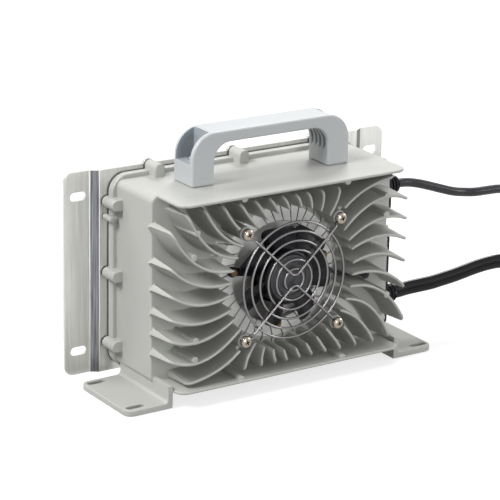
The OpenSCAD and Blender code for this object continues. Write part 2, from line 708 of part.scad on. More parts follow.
module stator() {
    front = hub_y + hub_wall + 2.5;
    color([0.5, 0.3, 0.14]) difference() {
        union() {
            for (k = [0:3]) place(0, front + stator_len, 0) rotate([90, k * 90 + 45, 0])
                translate([0, -2.2, 0]) cube([stator_r - 1, 4.4, stator_len]);
            rod(0, 0, front, front + stator_len, 6);
            block(front + 2, front + stator_len - 2) for (k = [0:3]) rotate(k * 90 + 45)
                difference() {
                    intersection() {
                        circle(stator_r);
                        translate([0, -7]) square([stator_r, 14]);
                    }
                    circle(stator_r - 1.5);
                }
        }
        rod(0, 0, front - 1, front + stator_len + 1, bearing_r + fit / 2);
    }
}

// A blade as a pitched plate that starts inside the hub's wall
module blade() {
    translate([hub_r - hub_wall + fit, 0, 0]) rotate([-blade_pitch, 0, 0])
        translate([0, -blade_t / 2, -blade_chord / 2]) cube([fan_tip_r, blade_t, blade_chord]);
}

module impeller() {
    color([0.09, 0.09, 0.1]) {
        difference() {
            union() {
                difference() {
                    rod(0, 0, hub_y, hub_rear, hub_r);
                    rod(0, 0, hub_y + hub_wall, hub_rear + 1, hub_r - hub_wall);
                    place(0, hub_y, 0) rotate([90, 0, 0]) rotate_extrude() translate([11, -0.5]) square([1, 1]);
                    place(0, hub_y, 0) rotate([90, 0, 0]) rotate_extrude() translate([15.5, -0.5]) square([1, 1]);
                }
                intersection() {
                    rod(0, 0, hub_y - 5, hub_rear + 5, fan_tip_r);
                    for (k = [0:blade_count - 1]) place(0, hub_y + hub_len / 2, 0)
                        rotate([0, k * 360 / blade_count - 33, 0]) blade();
                }
            }
            rod(0, 0, hub_y + 0.8, hub_rear, shaft_r);
        }
    }
}

module magnet_ring() {
    color([0.3, 0.28, 0.27]) difference() {
        rod(0, 0, hub_rear - magnet_len - 1, hub_rear - 1, hub_r - hub_wall);
        rod(0, 0, hub_rear - magnet_len - 2, hub_rear, hub_r - hub_wall - magnet_t);
    }
}

module fan_shaft() {
    color([0.8, 0.8, 0.82]) rod(0, 0, hub_y + 0.8, fan_base_y + fan_base_t - 0.5, shaft_r);
}

// The guard: rings, two V wires behind them, and an eyelet at each screw
module ring_wire(x, y, z, r, steps) {
    place(x, y, z) rotate([90, 0, 0]) rotate_extrude($fn = steps) translate([r, 0]) circle(wire_d / 2, $fn = 12);
}

eye_r = 2.9;
v_y = guard_y + wire_d - wire_bite;
v_eye = [guard_pitch / 2 - eye_r * cos(45), guard_pitch / 2 - eye_r * sin(45)];
v_way = atan2(v_eye[1] - v_bend_z, v_eye[0]);

v_bend_c = v_bend_z + v_bend_r / cos(v_way);
v_turns = [for (i = [-3:3]) i * v_way / 3];
V_ROUTE = concat([[-v_eye[0], v_y, v_eye[1]]],
    [for (a = v_turns) [v_bend_r * sin(a), v_y, v_bend_c - v_bend_r * cos(a)]],
    [[v_eye[0], v_y, v_eye[1]]]);

module v_wire() {
    place(0, 0, 0) round_cord(V_ROUTE, wire_d / 2, 10);
}

module fan_guard() {
    color([0.82, 0.82, 0.84]) {
        for (k = [0:ring_count - 1]) ring_wire(0, guard_y, 0, ring_r - k * ring_pitch, 60);
        for (at = guard_xz) ring_wire(at[0], v_y, at[1], eye_r, 24);
        v_wire();
        translate([0, 0, 2 * axis_z]) mirror([0, 0, 1]) v_wire();
    }
}

module guard_screws() {
    head_y = v_y - wire_d / 2;
    color([0.85, 0.85, 0.86]) for (at = guard_xz) difference() {
        union() {
            rod(at[0], at[1], head_y - guard_head_h, head_y - guard_head_h / 2, guard_head_r - 0.8);
            rod(at[0], at[1], head_y - guard_head_h / 2, head_y, guard_head_r);
            rod(at[0], at[1], head_y - bite, pillar_y + guard_shank_len, guard_shank_r);
        }
        for (turn = [0, 90]) place(at[0], head_y - guard_head_h - 1, at[1]) rotate([0, turn, 0])
            translate([-2.4, 0, -0.45]) cube([4.8, 2.2, 0.9]);
    }
}

// The fan's own lead, held between two fins on its way to the base
lead_r = 1.2;
LEAD_ROUTE = [[21.4, 21.6, -0.6], [27, 21.6, 0.2], [33.5, 21, -0.8], [38, 20, -3], [42.5, 19.2, -6],
              [47, 19, -8.4], [52, 19.6, -9.6], [58, 20.4, -10.6], [64, 21, -12], [69, 21.6, -14],
              [72.4, 22.8, -15.6], [74, 24.6, -16.2], [74.5, 26.6, -16.3], [74.5, 29, -16.3],
              [74.5, 33.6, -16.3]];

// A round cord: rings of points square to the route
function round_ring(c, d, r, n) = let (u = abs(d[1]) > 0.99 ? [1, 0, 0] : unit(cross(d, [0, 1, 0])), v = cross(u, d))
    [for (j = [0:n - 1]) c + r * cos(360 * j / n) * u + r * sin(360 * j / n) * v];
function round_rings(p, r, n) = [for (i = [0:len(p) - 1]) each round_ring(p[i], flow(p, i), r, n)];

module round_cord(p, r, n) {
    polyhedron(round_rings(p, r, n), tube_faces(len(p), n), 4);
}

module fan_lead() {
    color([0.08, 0.08, 0.09]) place(0, 0, 0) round_cord(LEAD_ROUTE, lead_r, 8);
}

module lead_grommet() {
    color([0.08, 0.08, 0.09]) difference() {
        union() {
            rod(grommet_x, grommet_z, base_y - 1.6, base_y, grommet_r + 0.5);
            rod(grommet_x, grommet_z, base_y - bite, base_y + base_t + bite, grommet_r - fit / 2);
            rod(grommet_x, grommet_z, base_y + base_t, base_y + base_t + 1.6, grommet_r + 0.5);
        }
        rod(grommet_x, grommet_z, base_y - 3, base_y + base_t + 3, lead_r + fit);
    }
}

// The two black plates on the cable side, with a gland each and its nut inside
module entry_plate(p) {
    color([0.12, 0.12, 0.13]) difference() {
        entry_pad(p, entry_t, half_w + pad_t, 0);
        for (z = [entry_z, -entry_z]) place(half_w, entry_y, z) rotate([0, 90, 0])
            cylinder(h = pad_t + entry_t + 2, r = gland_neck_r + fit);
        for (at = entry_screw_at) place(half_w, at[0], at[1]) rotate([0, 90, 0])
            cylinder(h = pad_t + entry_t + 2, r = entry_shank_r + 2 * fit);
    }
}

module ac_entry_plate() {
    entry_plate(entry_plates[0]);
}

module dc_entry_plate() {
    entry_plate(entry_plates[1]);
}

module entry_screws() {
    color([0.6, 0.6, 0.62]) for (at = entry_screw_at)
        place(half_w + pad_t + entry_t, at[0], at[1]) rotate([0, 90, 0]) {
            cylinder(h = 1.2, r = 2.4);
            translate([0, 0, -entry_screw_len - entry_t]) cylinder(h = entry_screw_len + entry_t + bite, r = entry_shank_r);
        }
}

// How far a gland's neck reaches behind its plate
neck_len = entry_t + pad_t + wall_t + 6;

// A gland along +X from the plate's face, with ribs that taper towards its mouth
module gland(mouth_r) {
    pitch = gland_len / (gland_ribs + 0.5);
    difference() {
        union() {
            cylinder(h = gland_len, r1 = gland_r - 1.1, r2 = mouth_r);
            for (k = [0:gland_ribs - 1]) translate([0, 0, k * pitch])
                cylinder(h = pitch * 0.62, r = gland_r - 0.25 * k);
            translate([0, 0, -neck_len]) cylinder(h = neck_len + bite, r = gland_neck_r);
        }
        translate([0, 0, -neck_len - 1]) linear_extrude(gland_len + neck_len + 2) children();
    }
}

module ac_gland() {
    color([0.08, 0.08, 0.09]) place(half_w + pad_t + entry_t, entry_y, entry_z) rotate([0, 90, 0])
        gland(ac_d / 2 + 1.6) circle(ac_d / 2 + fit);
}

module dc_gland() {
    color([0.08, 0.08, 0.09]) place(half_w + pad_t + entry_t, entry_y, -entry_z) rotate([0, 90, 0])
        gland(gland_r - 0.6) slot(2 * dc_d + 2 * fit, dc_d + 2 * fit);
}

module gland_nuts() {
    color([0.08, 0.08, 0.09]) for (z = [entry_z, -entry_z]) difference() {
        place(half_w - wall_t - 4, entry_y, z) rotate([0, 90, 0]) cylinder(h = 4, r = 8, $fn = 6);
        place(half_w - wall_t - 5, entry_y, z) rotate([0, 90, 0]) cylinder(h = 6, r = gland_neck_r + fit / 2);
    }
}

// The circuit board and what stands on it, behind the base
part_y = board_y + board_t;

module on_board(x, z) {
    place(x, part_y, board_dz + z) rotate([-90, 0, 0]) children();
}

module circuit_board() {
    color([0.1, 0.32, 0.2]) difference() {
        block(board_y, part_y) translate([0, board_dz]) square([board_w, board_h], center = true);
        for (at = board_xz) rod(at[0], at[1], board_y - 1, part_y + 1, board_bore_r + 2 * fit);
    }
}

module board_screws() {
    color([0.75, 0.75, 0.76]) for (at = board_xz) {
        rod(at[0], at[1], part_y, part_y + 1.8, 2.6);
        rod(at[0], at[1], part_y - 6, part_y + bite, board_bore_r - fit / 2);
    }
}

module transformer_core() {
    color([0.22, 0.22, 0.23]) on_board(-6, 0) difference() {
        translate([-18, -14, 0]) cube([36, 28, 30]);
        for (i = [-1, 1]) translate([i * 9.5 - 4.5, -15, 5]) cube([9, 30, 20]);
    }
}

module transformer_winding() {
    color([0.85, 0.75, 0.3]) on_board(-6, 0) translate([0, 0, 5.3]) linear_extrude(19.4) difference() {
        rounded(27.4, 36, 6);
        square([10.4, 28.4], center = true);
    }
}

module filter_choke() {
    color([0.62, 0.38, 0.18]) on_board(52, 18) rotate_extrude() translate([10, 5]) circle(5);
}

module output_choke() {
    color([0.3, 0.5, 0.36]) on_board(-50, 6) rotate_extrude() translate([11, 6]) circle(6);
}

module bulk_capacitors() {
    color([0.15, 0.15, 0.2]) for (i = [0, 1]) on_board(26 + 21 * i, -12) cylinder(h = 30, r = 9.5);
}

module output_capacitors() {
    color([0.2, 0.3, 0.42]) for (i = [0:3]) on_board(-60 + 12 * i, -28) cylinder(h = 22, r = 5);
}

module relay() {
    color([0.85, 0.85, 0.82]) on_board(18, 28) translate([-10, -8, 0]) cube([20, 16, 16]);
}

module fuse() {
    color([0.85, 0.86, 0.84]) on_board(58, -30) translate([-10, 0, 3.1]) rotate([0, 90, 0]) cylinder(h = 20, r = 3);
}

module terminal_block() {
    color([0.2, 0.45, 0.3]) on_board(30, -36) translate([-12, -5, 0]) difference() {
        cube([24, 10, 12]);
        for (k = [0:2]) translate([4 + 8 * k, 5, 4]) cylinder(h = 9, r = 2.2);
    }
}

// A bar bolted to the base above the board carries the power transistors
bar_w = 120;
bar_len = 24;

module heat_bar() {
    color([0.75, 0.76, 0.77]) difference() {
        place(-bar_w / 2, base_y + base_t, bar_z) cube([bar_w, bar_len, bar_h]);
        for (i = [-1, 1]) rod(i * 40, bar_z + bar_h / 2, base_y + base_t - 1, base_y + base_t + bar_len + 1, 2.1);
    }
}

module heat_bar_screws() {
    color([0.75, 0.75, 0.76]) for (i = [-1, 1]) {
        rod(i * 40, bar_z + bar_h / 2, base_y + base_t + bar_len, base_y + base_t + bar_len + 3, 3.8);
        rod(i * 40, bar_z + bar_h / 2, base_y + base_t + 0.4, base_y + base_t + bar_len + bite, 2);
    }
}

module thermal_pad() {
    color([0.75, 0.8, 0.82]) place(-50, base_y + base_t + 4, bar_z - 0.5) cube([100, bar_len - 5, 0.5]);
}

module power_transistors() {
    color([0.12, 0.12, 0.13]) for (k = [0:4]) place(-44 + 18.5 * k, base_y + base_t + 5, bar_z - 5.5) {
        cube([14, 17, 5]);
        for (leg = [0:2]) translate([2.4 + 4 * leg, 7, -2.2]) cube([1.2, 0.8, 2.7]);
    }
}

// Cords: the stretch before the hank, the hank's outer shape, and the end piece, which
// lies in the hank's middle. A cord crosses over its hank from the outermost top loop.
ac_top = ac_hank_layers * ac_d;
dc_top = dc_hank_layers * 2 * dc_d;
ac_lane = AC_ROUTE[len(AC_ROUTE) - 1][1];
dc_lane = DC_ROUTE[len(DC_ROUTE) - 1][1];
ac_end = [ac_hank_x, ac_lane, ac_top - ac_d / 2];
dc_end = [dc_hank_x, dc_lane, dc_top - dc_d];
AC_TAIL_AT = [for (p = AC_TAIL) ac_end + p];
DC_TAIL_AT = [for (p = DC_TAIL) dc_end + [p[0], -p[1], p[2]]];
ac_plug_at = AC_TAIL_AT[len(AC_TAIL) - 1];
dc_plug_at = DC_TAIL_AT[len(DC_TAIL) - 1];

// A hank's loops as one body: its outline runs round a straight middle line at y 0
module hank(straight, r) {
    for (i = [0, 1]) translate([i * straight, 0, 0]) rotate([0, 0, i ? -90 : 90])
        rotate_extrude(angle = 180) translate([r, 0]) children();
    for (i = [-1, 1]) translate([0, i * r, 0]) rotate([90, 0, 90]) linear_extrude(straight) children();
}

module floor_place() {
    translate([0, -total_depth / 2, 0]) children();
}

module ac_cord() {
    color([0.09, 0.09, 0.1]) floor_place() {
        round_cord(AC_ROUTE, ac_d / 2, cord_sides);
        round_cord(AC_TAIL_AT, ac_d / 2, cord_sides);
    }
}

module ac_coil() {
    color([0.09, 0.09, 0.1]) floor_place() translate([ac_hank_x, ac_lane + ac_hank_r, 0])
        hank(ac_hank_straight, ac_hank_r - (ac_hank_across - 1) * ac_d / 2)
            translate([0, ac_top / 2]) rounded(ac_hank_across * ac_d, ac_top, ac_d / 2);
}

// Plug body with a tapered relief, lying on its side along the hank
plug_relief_len = 28;
plug_body_len = 24;
plug_half_h = ac_plug_at[2];

module ac_plug() {
    color([0.09, 0.09, 0.1]) floor_place() translate(ac_plug_at) rotate([0, 90, 0]) rotate([0, 0, 90]) difference() {
        union() {
            cylinder(h = plug_relief_len, r1 = ac_d / 2 + 0.8, r2 = 6.5);
            translate([0, 0, plug_relief_len - 2]) linear_extrude(plug_body_len) rounded(24, 2 * plug_half_h, 6);
            translate([0, 0, plug_relief_len - 6]) linear_extrude(6) rounded(16, 14, 5);
        }
        translate([0, 0, -1]) cylinder(h = 3, r = ac_d / 2 + fit);
        for (i = [-1, 1]) translate([i * 6.35, -2.6, plug_relief_len + plug_body_len - 6])
            linear_extrude(5) square([1.5 + fit, 6.3 + fit], center = true);
        translate([0, 5.6, plug_relief_len + plug_body_len - 6]) cylinder(h = 5, r = 2.4 + fit / 2);
    }
}

module plug_pins() {
    color([0.78, 0.66, 0.38]) floor_place() translate(ac_plug_at) rotate([0, 90, 0]) rotate([0, 0, 90]) {
        for (i = [-1, 1]) translate([i * 6.35, -2.6, plug_relief_len + plug_body_len - 6])
            linear_extrude(21) square([1.5, 6.3], center = true);
        translate([0, 5.6, plug_relief_len + plug_body_len - 6]) cylinder(h = 24, r = 2.4);
    }
}

// Outline of the twin lead: sideways and upright offsets, in core radii
TWIN = [[0.7, 0], [1, 0.6], [1, 1.4], [0.5, 1.95], [-0.5, 1.95], [-1, 1.4], [-1, 0.6],
        [-0.7, 0], [-1, -0.6], [-1, -1.4], [-0.5, -1.95], [0.5, -1.95], [1, -1.4], [1, -0.6]];
function twin_rings(p) = [for (i = [0:len(p) - 1]) each
    [for (o = TWIN) p[i] + dc_d / 2 * (o[0] * level(flow(p, i)) + o[1] * cross(level(flow(p, i)), flow(p, i)))]];

module twin_cord(p) {
    polyhedron(twin_rings(p), tube_faces(len(p), len(TWIN)), 4);
}

module dc_cord() {
    color([0.07, 0.07, 0.08]) floor_place() {
        twin_cord(DC_ROUTE);
        twin_cord(DC_TAIL_AT);
    }
}

module dc_coil() {
    color([0.07, 0.07, 0.08]) floor_place() translate([dc_hank_x, dc_lane - dc_hank_r, 0])
        hank(dc_hank_straight, dc_hank_r - (dc_hank_across - 1) * dc_d / 2)
            translate([0, dc_top / 2]) rounded(dc_hank_across * dc_d, dc_top, dc_d / 2 - 0.2);
}

// Two-pole connector: a stepped housing with two open mouths and its contacts inside
plug_neck_len = 20;
plug_mouth_len = 26;
mouth_pitch = 8;
mouth_floor = plug_neck_len + 8;

module dc_connector() {
    color([0.55, 0.56, 0.58]) floor_place() translate(dc_plug_at) rotate([0, 90, 0]) rotate([0, 0, 90]) difference() {
        union() {
            linear_extrude(plug_neck_len) rounded(12, 2 * dc_plug_at[2], 2);
            translate([0, 0, plug_neck_len - bite]) linear_extrude(plug_mouth_len)
                rounded(16, 2 * dc_plug_at[2], 2);
        }
        for (i = [-1, 1]) translate([0, i * mouth_pitch / 2, mouth_floor])
            linear_extrude(plug_mouth_len) rounded(11, 5.8, 1.2);
        translate([0, 0, -1]) linear_extrude(3) square([dc_d + 2 * fit, 2 * dc_d + 2 * fit], center = true);
    }
}

module connector_contacts() {
    color([0.82, 0.72, 0.5]) floor_place() translate(dc_plug_at) rotate([0, 90, 0]) rotate([0, 0, 90])
        for (i = [-1, 1]) translate([0, i * mouth_pitch / 2, mouth_floor])
            linear_extrude(12) square([7, 1.6], center = true);
}

housing();
cover_gasket();
back_plate();
back_screws();
handle();
handle_screws();
fan_base();
fan_screws();
stator();
sleeve_bearing();
impeller();
magnet_ring();
fan_shaft();
fan_guard();
guard_screws();
fan_lead();
lead_grommet();
ac_entry_plate();
dc_entry_plate();
entry_screws();
ac_gland();
dc_gland();
gland_nuts();
circuit_board();
board_screws();
transformer_core();
transformer_winding();
filter_choke();
output_choke();
bulk_capacitors();
output_capacitors();
heat_bar();
heat_bar_screws();
thermal_pad();
power_transistors();
relay();
fuse();
terminal_block();
ac_cord();
ac_coil();
ac_plug();
plug_pins();
dc_cord();
dc_coil();
dc_connector();
connector_contacts();
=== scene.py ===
"""Looks of the waterproof battery charger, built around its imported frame.

Shapes are written in the part's own millimetres: x across, d the depth behind the
front edge of the cast plates, and z the height over the fan's axis. mm() turns such
a point into the frame's metres. floor_mm() does the same for points whose z counts
from the floor, such as those of the cords and the feet.
"""

import json
import math

import bmesh
import bpy
from mathutils import Matrix, Vector

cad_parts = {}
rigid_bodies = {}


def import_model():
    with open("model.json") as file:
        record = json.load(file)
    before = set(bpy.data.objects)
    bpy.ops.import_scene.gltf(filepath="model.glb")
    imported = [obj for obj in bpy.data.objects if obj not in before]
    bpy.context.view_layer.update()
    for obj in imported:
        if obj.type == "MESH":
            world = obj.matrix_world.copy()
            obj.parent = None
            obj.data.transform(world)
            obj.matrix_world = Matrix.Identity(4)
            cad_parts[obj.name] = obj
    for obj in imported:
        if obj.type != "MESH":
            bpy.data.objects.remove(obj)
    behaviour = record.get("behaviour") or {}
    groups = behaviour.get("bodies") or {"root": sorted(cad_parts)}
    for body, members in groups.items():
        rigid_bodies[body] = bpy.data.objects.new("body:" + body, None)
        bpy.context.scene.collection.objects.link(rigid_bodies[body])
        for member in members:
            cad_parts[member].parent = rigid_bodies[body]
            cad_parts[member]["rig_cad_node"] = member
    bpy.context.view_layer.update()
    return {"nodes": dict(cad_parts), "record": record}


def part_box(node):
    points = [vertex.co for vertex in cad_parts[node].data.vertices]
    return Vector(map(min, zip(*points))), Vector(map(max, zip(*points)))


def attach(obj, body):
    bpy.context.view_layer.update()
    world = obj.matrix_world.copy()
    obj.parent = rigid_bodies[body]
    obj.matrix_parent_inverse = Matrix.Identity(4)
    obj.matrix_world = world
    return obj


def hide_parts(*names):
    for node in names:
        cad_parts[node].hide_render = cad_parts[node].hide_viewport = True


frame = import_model()

# Housing
TOTAL_DEPTH, AXIS_Z = 82.0, 72.5
BODY_W, BODY_H, BODY_R = 183.0, 124.4, 5.0
BASE_D, BASE_T, WALL_T, CASE_DEPTH = 27.6, 4.0, 3.0, 76.2
PLATE_T, PLATE_R, PLATE_RIB_X, PLATE_RIB_R = 2.0, 8.0, 39.5, 2.5
RIM_OUT, RIM_LEN, RIM_R = 3.0, 5.7, 12.0
BOSS_R, BOSS_LEN, BOSS_OUT_X, BOSS_OUT_Z = 3.75, 13.5, 3.95, 5.05
BOSS_PITCH_X, BOSS_PITCH_Z = 64.0, 47.5
FOOT_T, FOOT_LEG_T, FOOT_OUT, FOOT_D, FOOT_LEN, FOOT_R, FOOT_FILLET = 4.0, 5.0, 28.3, 8.2, 60.3, 6.0, 2.4
FOOT_SLOT = (13.0, 4.5)
FOOT_SLOT_X, FOOT_SLOT_D, FOOT_SLOT_PITCH = 19.5, 14.0, 49.0
PEG_R, PEG_LEN, PEG_Z = 2.0, 9.3, 37.5
HALF_W, HALF_H = BODY_W / 2, BODY_H / 2

# Fins
FIN_D, FIN_ROOT_T, FIN_TIP_T, FIN_CORNER_R, FIN_FILLET = 3.5, 4.3, 1.9, 4.0, 1.2
ROOT_H, ROOT_R, ROOT_OUT_R, ROOT_END_R = 4.5, 33.5, 44, 52
# A slit between two fin roots: its corners along the fins and sideways
ROOT_SLIT = [(-15, -0.3), (8, -0.6), (8, 0.6), (-15, 0.3)]
SCREW_CLEAR_R, SCREW_CLEAR_D = 6.8, 8.5
FIN_END_X = HALF_W - 0.3
# Start, control and end point of each fin's curve. Half a turn gives the other 18.
FINS = [
    [(-42, 21), (-66, 23.5), (-79.5, 54.5)],
    [(-45, 13), (-74.5, 12), (-FIN_END_X, 45)],
    [(-46.5, 5), (-74, 2), (-FIN_END_X, 21.5)],
    [(-47, -3), (-71, -11.5), (-FIN_END_X, 3.5)],
    [(-45.5, -12.5), (-70.5, -23.5), (-FIN_END_X, -12)],
    [(-43, -19), (-69.5, -37), (-FIN_END_X, -26)],
    [(-39, -26.5), (-66, -53), (-FIN_END_X, -39.5)],
    [(-32.5, -34), (-48, -54.5), (-79, -57)],
    [(-38, 28), (-56, 34), (-67, 56)],
    [(-33, 33.5), (-45, 40.5), (-53, 56)],
    [(-27, 38.5), (-35, 46.5), (-40.5, 56)],
    [(-19.5, 42.5), (-24.5, 49), (-29, 56)],
    [(-11.5, 45.5), (-14.5, 50.5), (-18, 56)],
    [(-3.5, 47), (-5.5, 52), (-8.5, 56)],
    [(5.5, 46.5), (4.5, 52), (1.5, 56)],
    [(13.5, 45), (13.5, 51), (10.5, 56)],
    [(20.5, 42), (24, 51), (21.5, 56)],
    [(27.5, 38), (35.5, 49), (35, 56)]]
EJECTORS = [(-72.5, 41.9), (-74.9, 26.3), (-72.6, -29), (-73.2, -41.5),
            (73.1, 44.4), (73.2, 31.9), (75.8, -23.7), (72.7, -39.2)]
EJECTOR_R, EJECTOR_ROOT_R = 2.3, 2.8

# Guard and fan. The V wires cross in front of the rings and kink back to the eyelets.
WIRE_D, WIRE_BITE, RING_R, RING_COUNT, RING_PITCH, GUARD_D = 1.6, 0.2, 38.7, 6, 6.3, 2.7
GUARD_PITCH, EYE_R, V_BEND_R, V_BEND_Z = 71.5, 2.9, 4.0, 2.2
V_D, V_FRONT_D, V_KINK = GUARD_D + WIRE_D - WIRE_BITE, GUARD_D - WIRE_D + WIRE_BITE, 5.0
PILLAR_R, PILLAR_D = 4.5, GUARD_D + 1.5 * WIRE_D - WIRE_BITE
GUARD_HEAD_R, GUARD_HEAD_H, CROSS_REACH, CROSS_HALF_W, CROSS_TURN = 3.8, 2.6, 0.5, 0.45, 20
FAN_TIP_R, HUB_R, HUB_D, HUB_LEN, HUB_WALL = 34.0, 18.5, 6.0, 14.0, 1.5
BLADE_COUNT, BLADE_T, BLADE_CHORD, BLADE_CAMBER, BLADE_START = 7, 1.3, 21.5, 1.2, 49.5
BLADE_ROOT_PITCH, BLADE_TWIST = 32.0, 8.0

# Handle
HANDLE_W, HANDLE_H, HANDLE_D, HANDLE_LEN, GRIP_T = 120.4, 34.3, 30.6, 22.4, 7.6
LEG_W, HANDLE_R, HANDLE_IN_R, LEDGE_H, LEDGE_T, HANDLE_WALL = 16.7, 17.0, 12.0, 14.8, 4.0, 2.8
# Slots between ribs in the inner corners under the grip
SLOT_COUNT, SLOT_PITCH, SLOT_RIB, SLOT_SHIFT = 4, 4.4, 1.6, 2.6

# Back plate
GASKET_T, BACK_T, BACK_H = 0.8, 1.8, 136.0
EAR_SPAN, EAR_STEP, EAR_R, FOLD_X, FOLD_W, FOLD_ANGLE, FOLD_BEND = 248.6, 3.2, 6.5, 99.6, 6.8, 32.0, 2.0
EAR_SLOT = (11.6, 5.8)
EAR_SLOT_IN, EAR_SLOT_PITCH = 10.2, 104.0
BACK_D = CASE_DEPTH + GASKET_T

# Cable side. The cast pads end at PAD_FACE and the black plates at ENTRY_FACE.
ENTRY_LEN, ENTRY_START, PAD_RIM, PAD_FACE, ENTRY_FACE = 31.0, 30.0, 2.0, HALF_W + 1.5, HALF_W + 4.8
# Lower edge and height of each plate
ENTRY_PLATES = [(25.0, 30.0), (-55.0, 62.0)]
ENTRY_D, ENTRY_Z, GLAND_R, GLAND_LEN, GLAND_RIBS, GLAND_GROOVE = 41.0, 38.5, 6.65, 12.0, 4, 1.1
AC_D, DC_D = 6.2, 5.0

# Routes of the cords over the floor, as in the part's source: x, depth, height
AC_ROUTE = [(107, 41, 111), (112, 41, 111), (119, 41, 110.2), (127, 40, 108.4), (136, 39, 105.6),
            (145, 38, 102.6), (154, 37, 99.8), (163, 37, 98), (172, 36, 97), (182, 36, 96.6),
            (192, 36, 96.2), (202, 36, 94.6), (211, 36.2, 91), (219, 36.6, 85.4), (226, 37.2, 77.8),
            (232, 38, 68), (237, 39, 57), (242, 40, 45.5), (248, 41.2, 34), (255, 42.4, 23.4),
            (264, 43.6, 13), (275, 44.4, 6.4), (286, 44.8, 3.6), (296, 45, 3.1), (306, 45, 3.1)]
DC_ROUTE = [(107, 41, 34), (114, 41, 34.2), (122, 41, 34.8), (131, 40, 35.4), (140, 39, 36),
            (149, 38.6, 37), (158, 38, 38.2), (167, 37.4, 39.8), (176, 37, 41.4), (185, 36, 42.8),
            (194, 35, 43.4), (203, 34, 42.6), (212, 33.6, 39.8), (221, 33.8, 35), (230, 34.4, 28.8),
            (240, 35.2, 21), (250, 36, 13.6), (261, 36.8, 8.4), (273, 37.3, 5.8), (286, 37.5, 5.1),
            (306, 37.5, 5)]
# The cords' last parts, from the ends of their hanks to the plug and the connector
AC_TAIL = [(0, 0, 0), (7, 0.3, 2.2), (14, 2.2, 5), (20, 6.4, 6.5), (26, 12, 6.6), (32, 17.8, 5.4),
           (38, 22.4, 3.2), (43, 24.6, 2), (47, 25, 1.7)]
DC_TAIL = [(0, 0, 0), (8, 0, 2.6), (15, -0.1, 7), (21, -1.4, 10), (27, -5, 10.6), (33, -10.4, 9.2),
           (39, -15.6, 3.4), (45, -19.6, -2.2), (51, -22, -5.8), (57, -22.5, -6.8), (61, -22.5, -6.8)]
# Hanks: the end radius and height of each loop, and the ties round them
HANK_STRAIGHT = 106.0
AC_LOOPS = [(25, 3.1), (18.8, 3.1), (18.8, 9.3), (25, 9.3)]
DC_LOOPS = [(22.5, 5), (17.5, 5), (17.5, 15), (22.5, 15)]
AC_TIE_X, DC_TIE_X, TIE_T, TIE_W, TIE_CLEAR = 366.0, 388.0, 0.8, 10.0, 0.1
TIE_GAP = TIE_T + TIE_CLEAR
# The plug's strain relief, that the mains cord's tie also goes over: depth, z and radius
PLUG_RELIEF_ROOM = (70, 11, 5.8)
# The fan's lead
LEAD_ROUTE = [(21.4, 21.6, -0.6), (27, 21.6, 0.2), (33.5, 21, -0.8), (38, 20, -3), (42.5, 19.2, -6),
              (47, 19, -8.4), (52, 19.6, -9.6), (58, 20.4, -10.6), (64, 21, -12), (69, 21.6, -14),
              (72.4, 22.8, -15.6), (74, 24.6, -16.2), (74.5, 26.6, -16.3), (74.5, 29, -16.3),
              (74.5, 33.6, -16.3)]
LEAD_R = 1.2

# Camera, as fitted to the photograph
CAM_AZIMUTH, CAM_ELEVATION, CAM_ROLL = 33.72, 18.02, 1.17
CAM_DISTANCE, CAM_RIGHT, CAM_UP = 1482.5, -29.62, 19.70
CAM_FOCAL_PX, IMAGE_PX, SENSOR_MM = 2324.7, 500, 36.0


def mm(x, d, z):
    return Vector((x, d - TOTAL_DEPTH / 2, z + AXIS_Z)) / 1000


def floor_mm(x, d, z):
    return Vector((x, d - TOTAL_DEPTH / 2, z)) / 1000


def unit(v):
    return Vector(v).normalized()


# Meshes


def mesh_object(name, points, faces):
    mesh = bpy.data.meshes.new(name)
    mesh.from_pydata([tuple(p) for p in points], [], faces)
    made = bpy.data.objects.new(name, mesh)
    bpy.context.scene.collection.objects.link(made)
    work = bmesh.new()
    work.from_mesh(mesh)
    bmesh.ops.recalc_face_normals(work, faces=work.faces)
    work.to_mesh(mesh)
    work.free()
    return made


def loft(name, rings, closed=False):
    """A skin over rings of equally many points, capped at both ends unless closed."""
    n, count = len(rings[0]), len(rings)
    faces = []
    for i in range(count if closed else count - 1):
        for j in range(n):
            a, b = i * n, (i + 1) % count * n
            faces.append((a + j, a + (j + 1) % n, b + (j + 1) % n, b + j))
    if not closed:
        faces += [tuple(range(n)), tuple(range((count - 1) * n, count * n))]
    return mesh_object(name, [p for ring in rings for p in ring], faces)


def applied(item):
    depsgraph = bpy.context.evaluated_depsgraph_get()
    mesh = bpy.data.meshes.new_from_object(item.evaluated_get(depsgraph))
    item.modifiers.clear()
    item.data = mesh
    return item


def bevelled(item, width, segments=3, angle=40):
    bevel = item.modifiers.new("edge", "BEVEL")
    bevel.width = width / 1000
    bevel.segments = segments
    bevel.limit_method = "ANGLE"
    bevel.angle_limit = math.radians(angle)
    return applied(item)


def combined(item, tools, operation):
    for tool in tools:
        step = item.modifiers.new("step", "BOOLEAN")
        step.solver = "MANIFOLD"
        step.operation = operation
        step.object = tool
        applied(item)
        bpy.data.objects.remove(tool)
    return item


def fused(item, *tools):
    return combined(item, tools, "UNION")


def cut(item, *tools):
    return combined(item, tools, "DIFFERENCE")


def joined(name, items):
    """One object of shells that don't meet."""
    work = bmesh.new()
    for item in items:
        work.from_mesh(item.data)
        bpy.data.objects.remove(item)
    mesh = bpy.data.meshes.new(name)
    work.to_mesh(mesh)
    work.free()
    made = bpy.data.objects.new(name, mesh)
    bpy.context.scene.collection.objects.link(made)
    return made


def smoothed(item, angle=35):
    for face in item.data.polygons:
        face.use_smooth = True
    item.data.set_sharp_from_angle(angle=math.radians(angle))
    even = item.modifiers.new("even", "WEIGHTED_NORMAL")
    even.keep_sharp = True
    return applied(item)


# Outlines


def arc(x, z, r, start, stop, steps):
    turns = [math.radians(start + (stop - start) * i / steps) for i in range(steps + 1)]
    return [(x + r * math.cos(a), z + r * math.sin(a)) for a in turns]


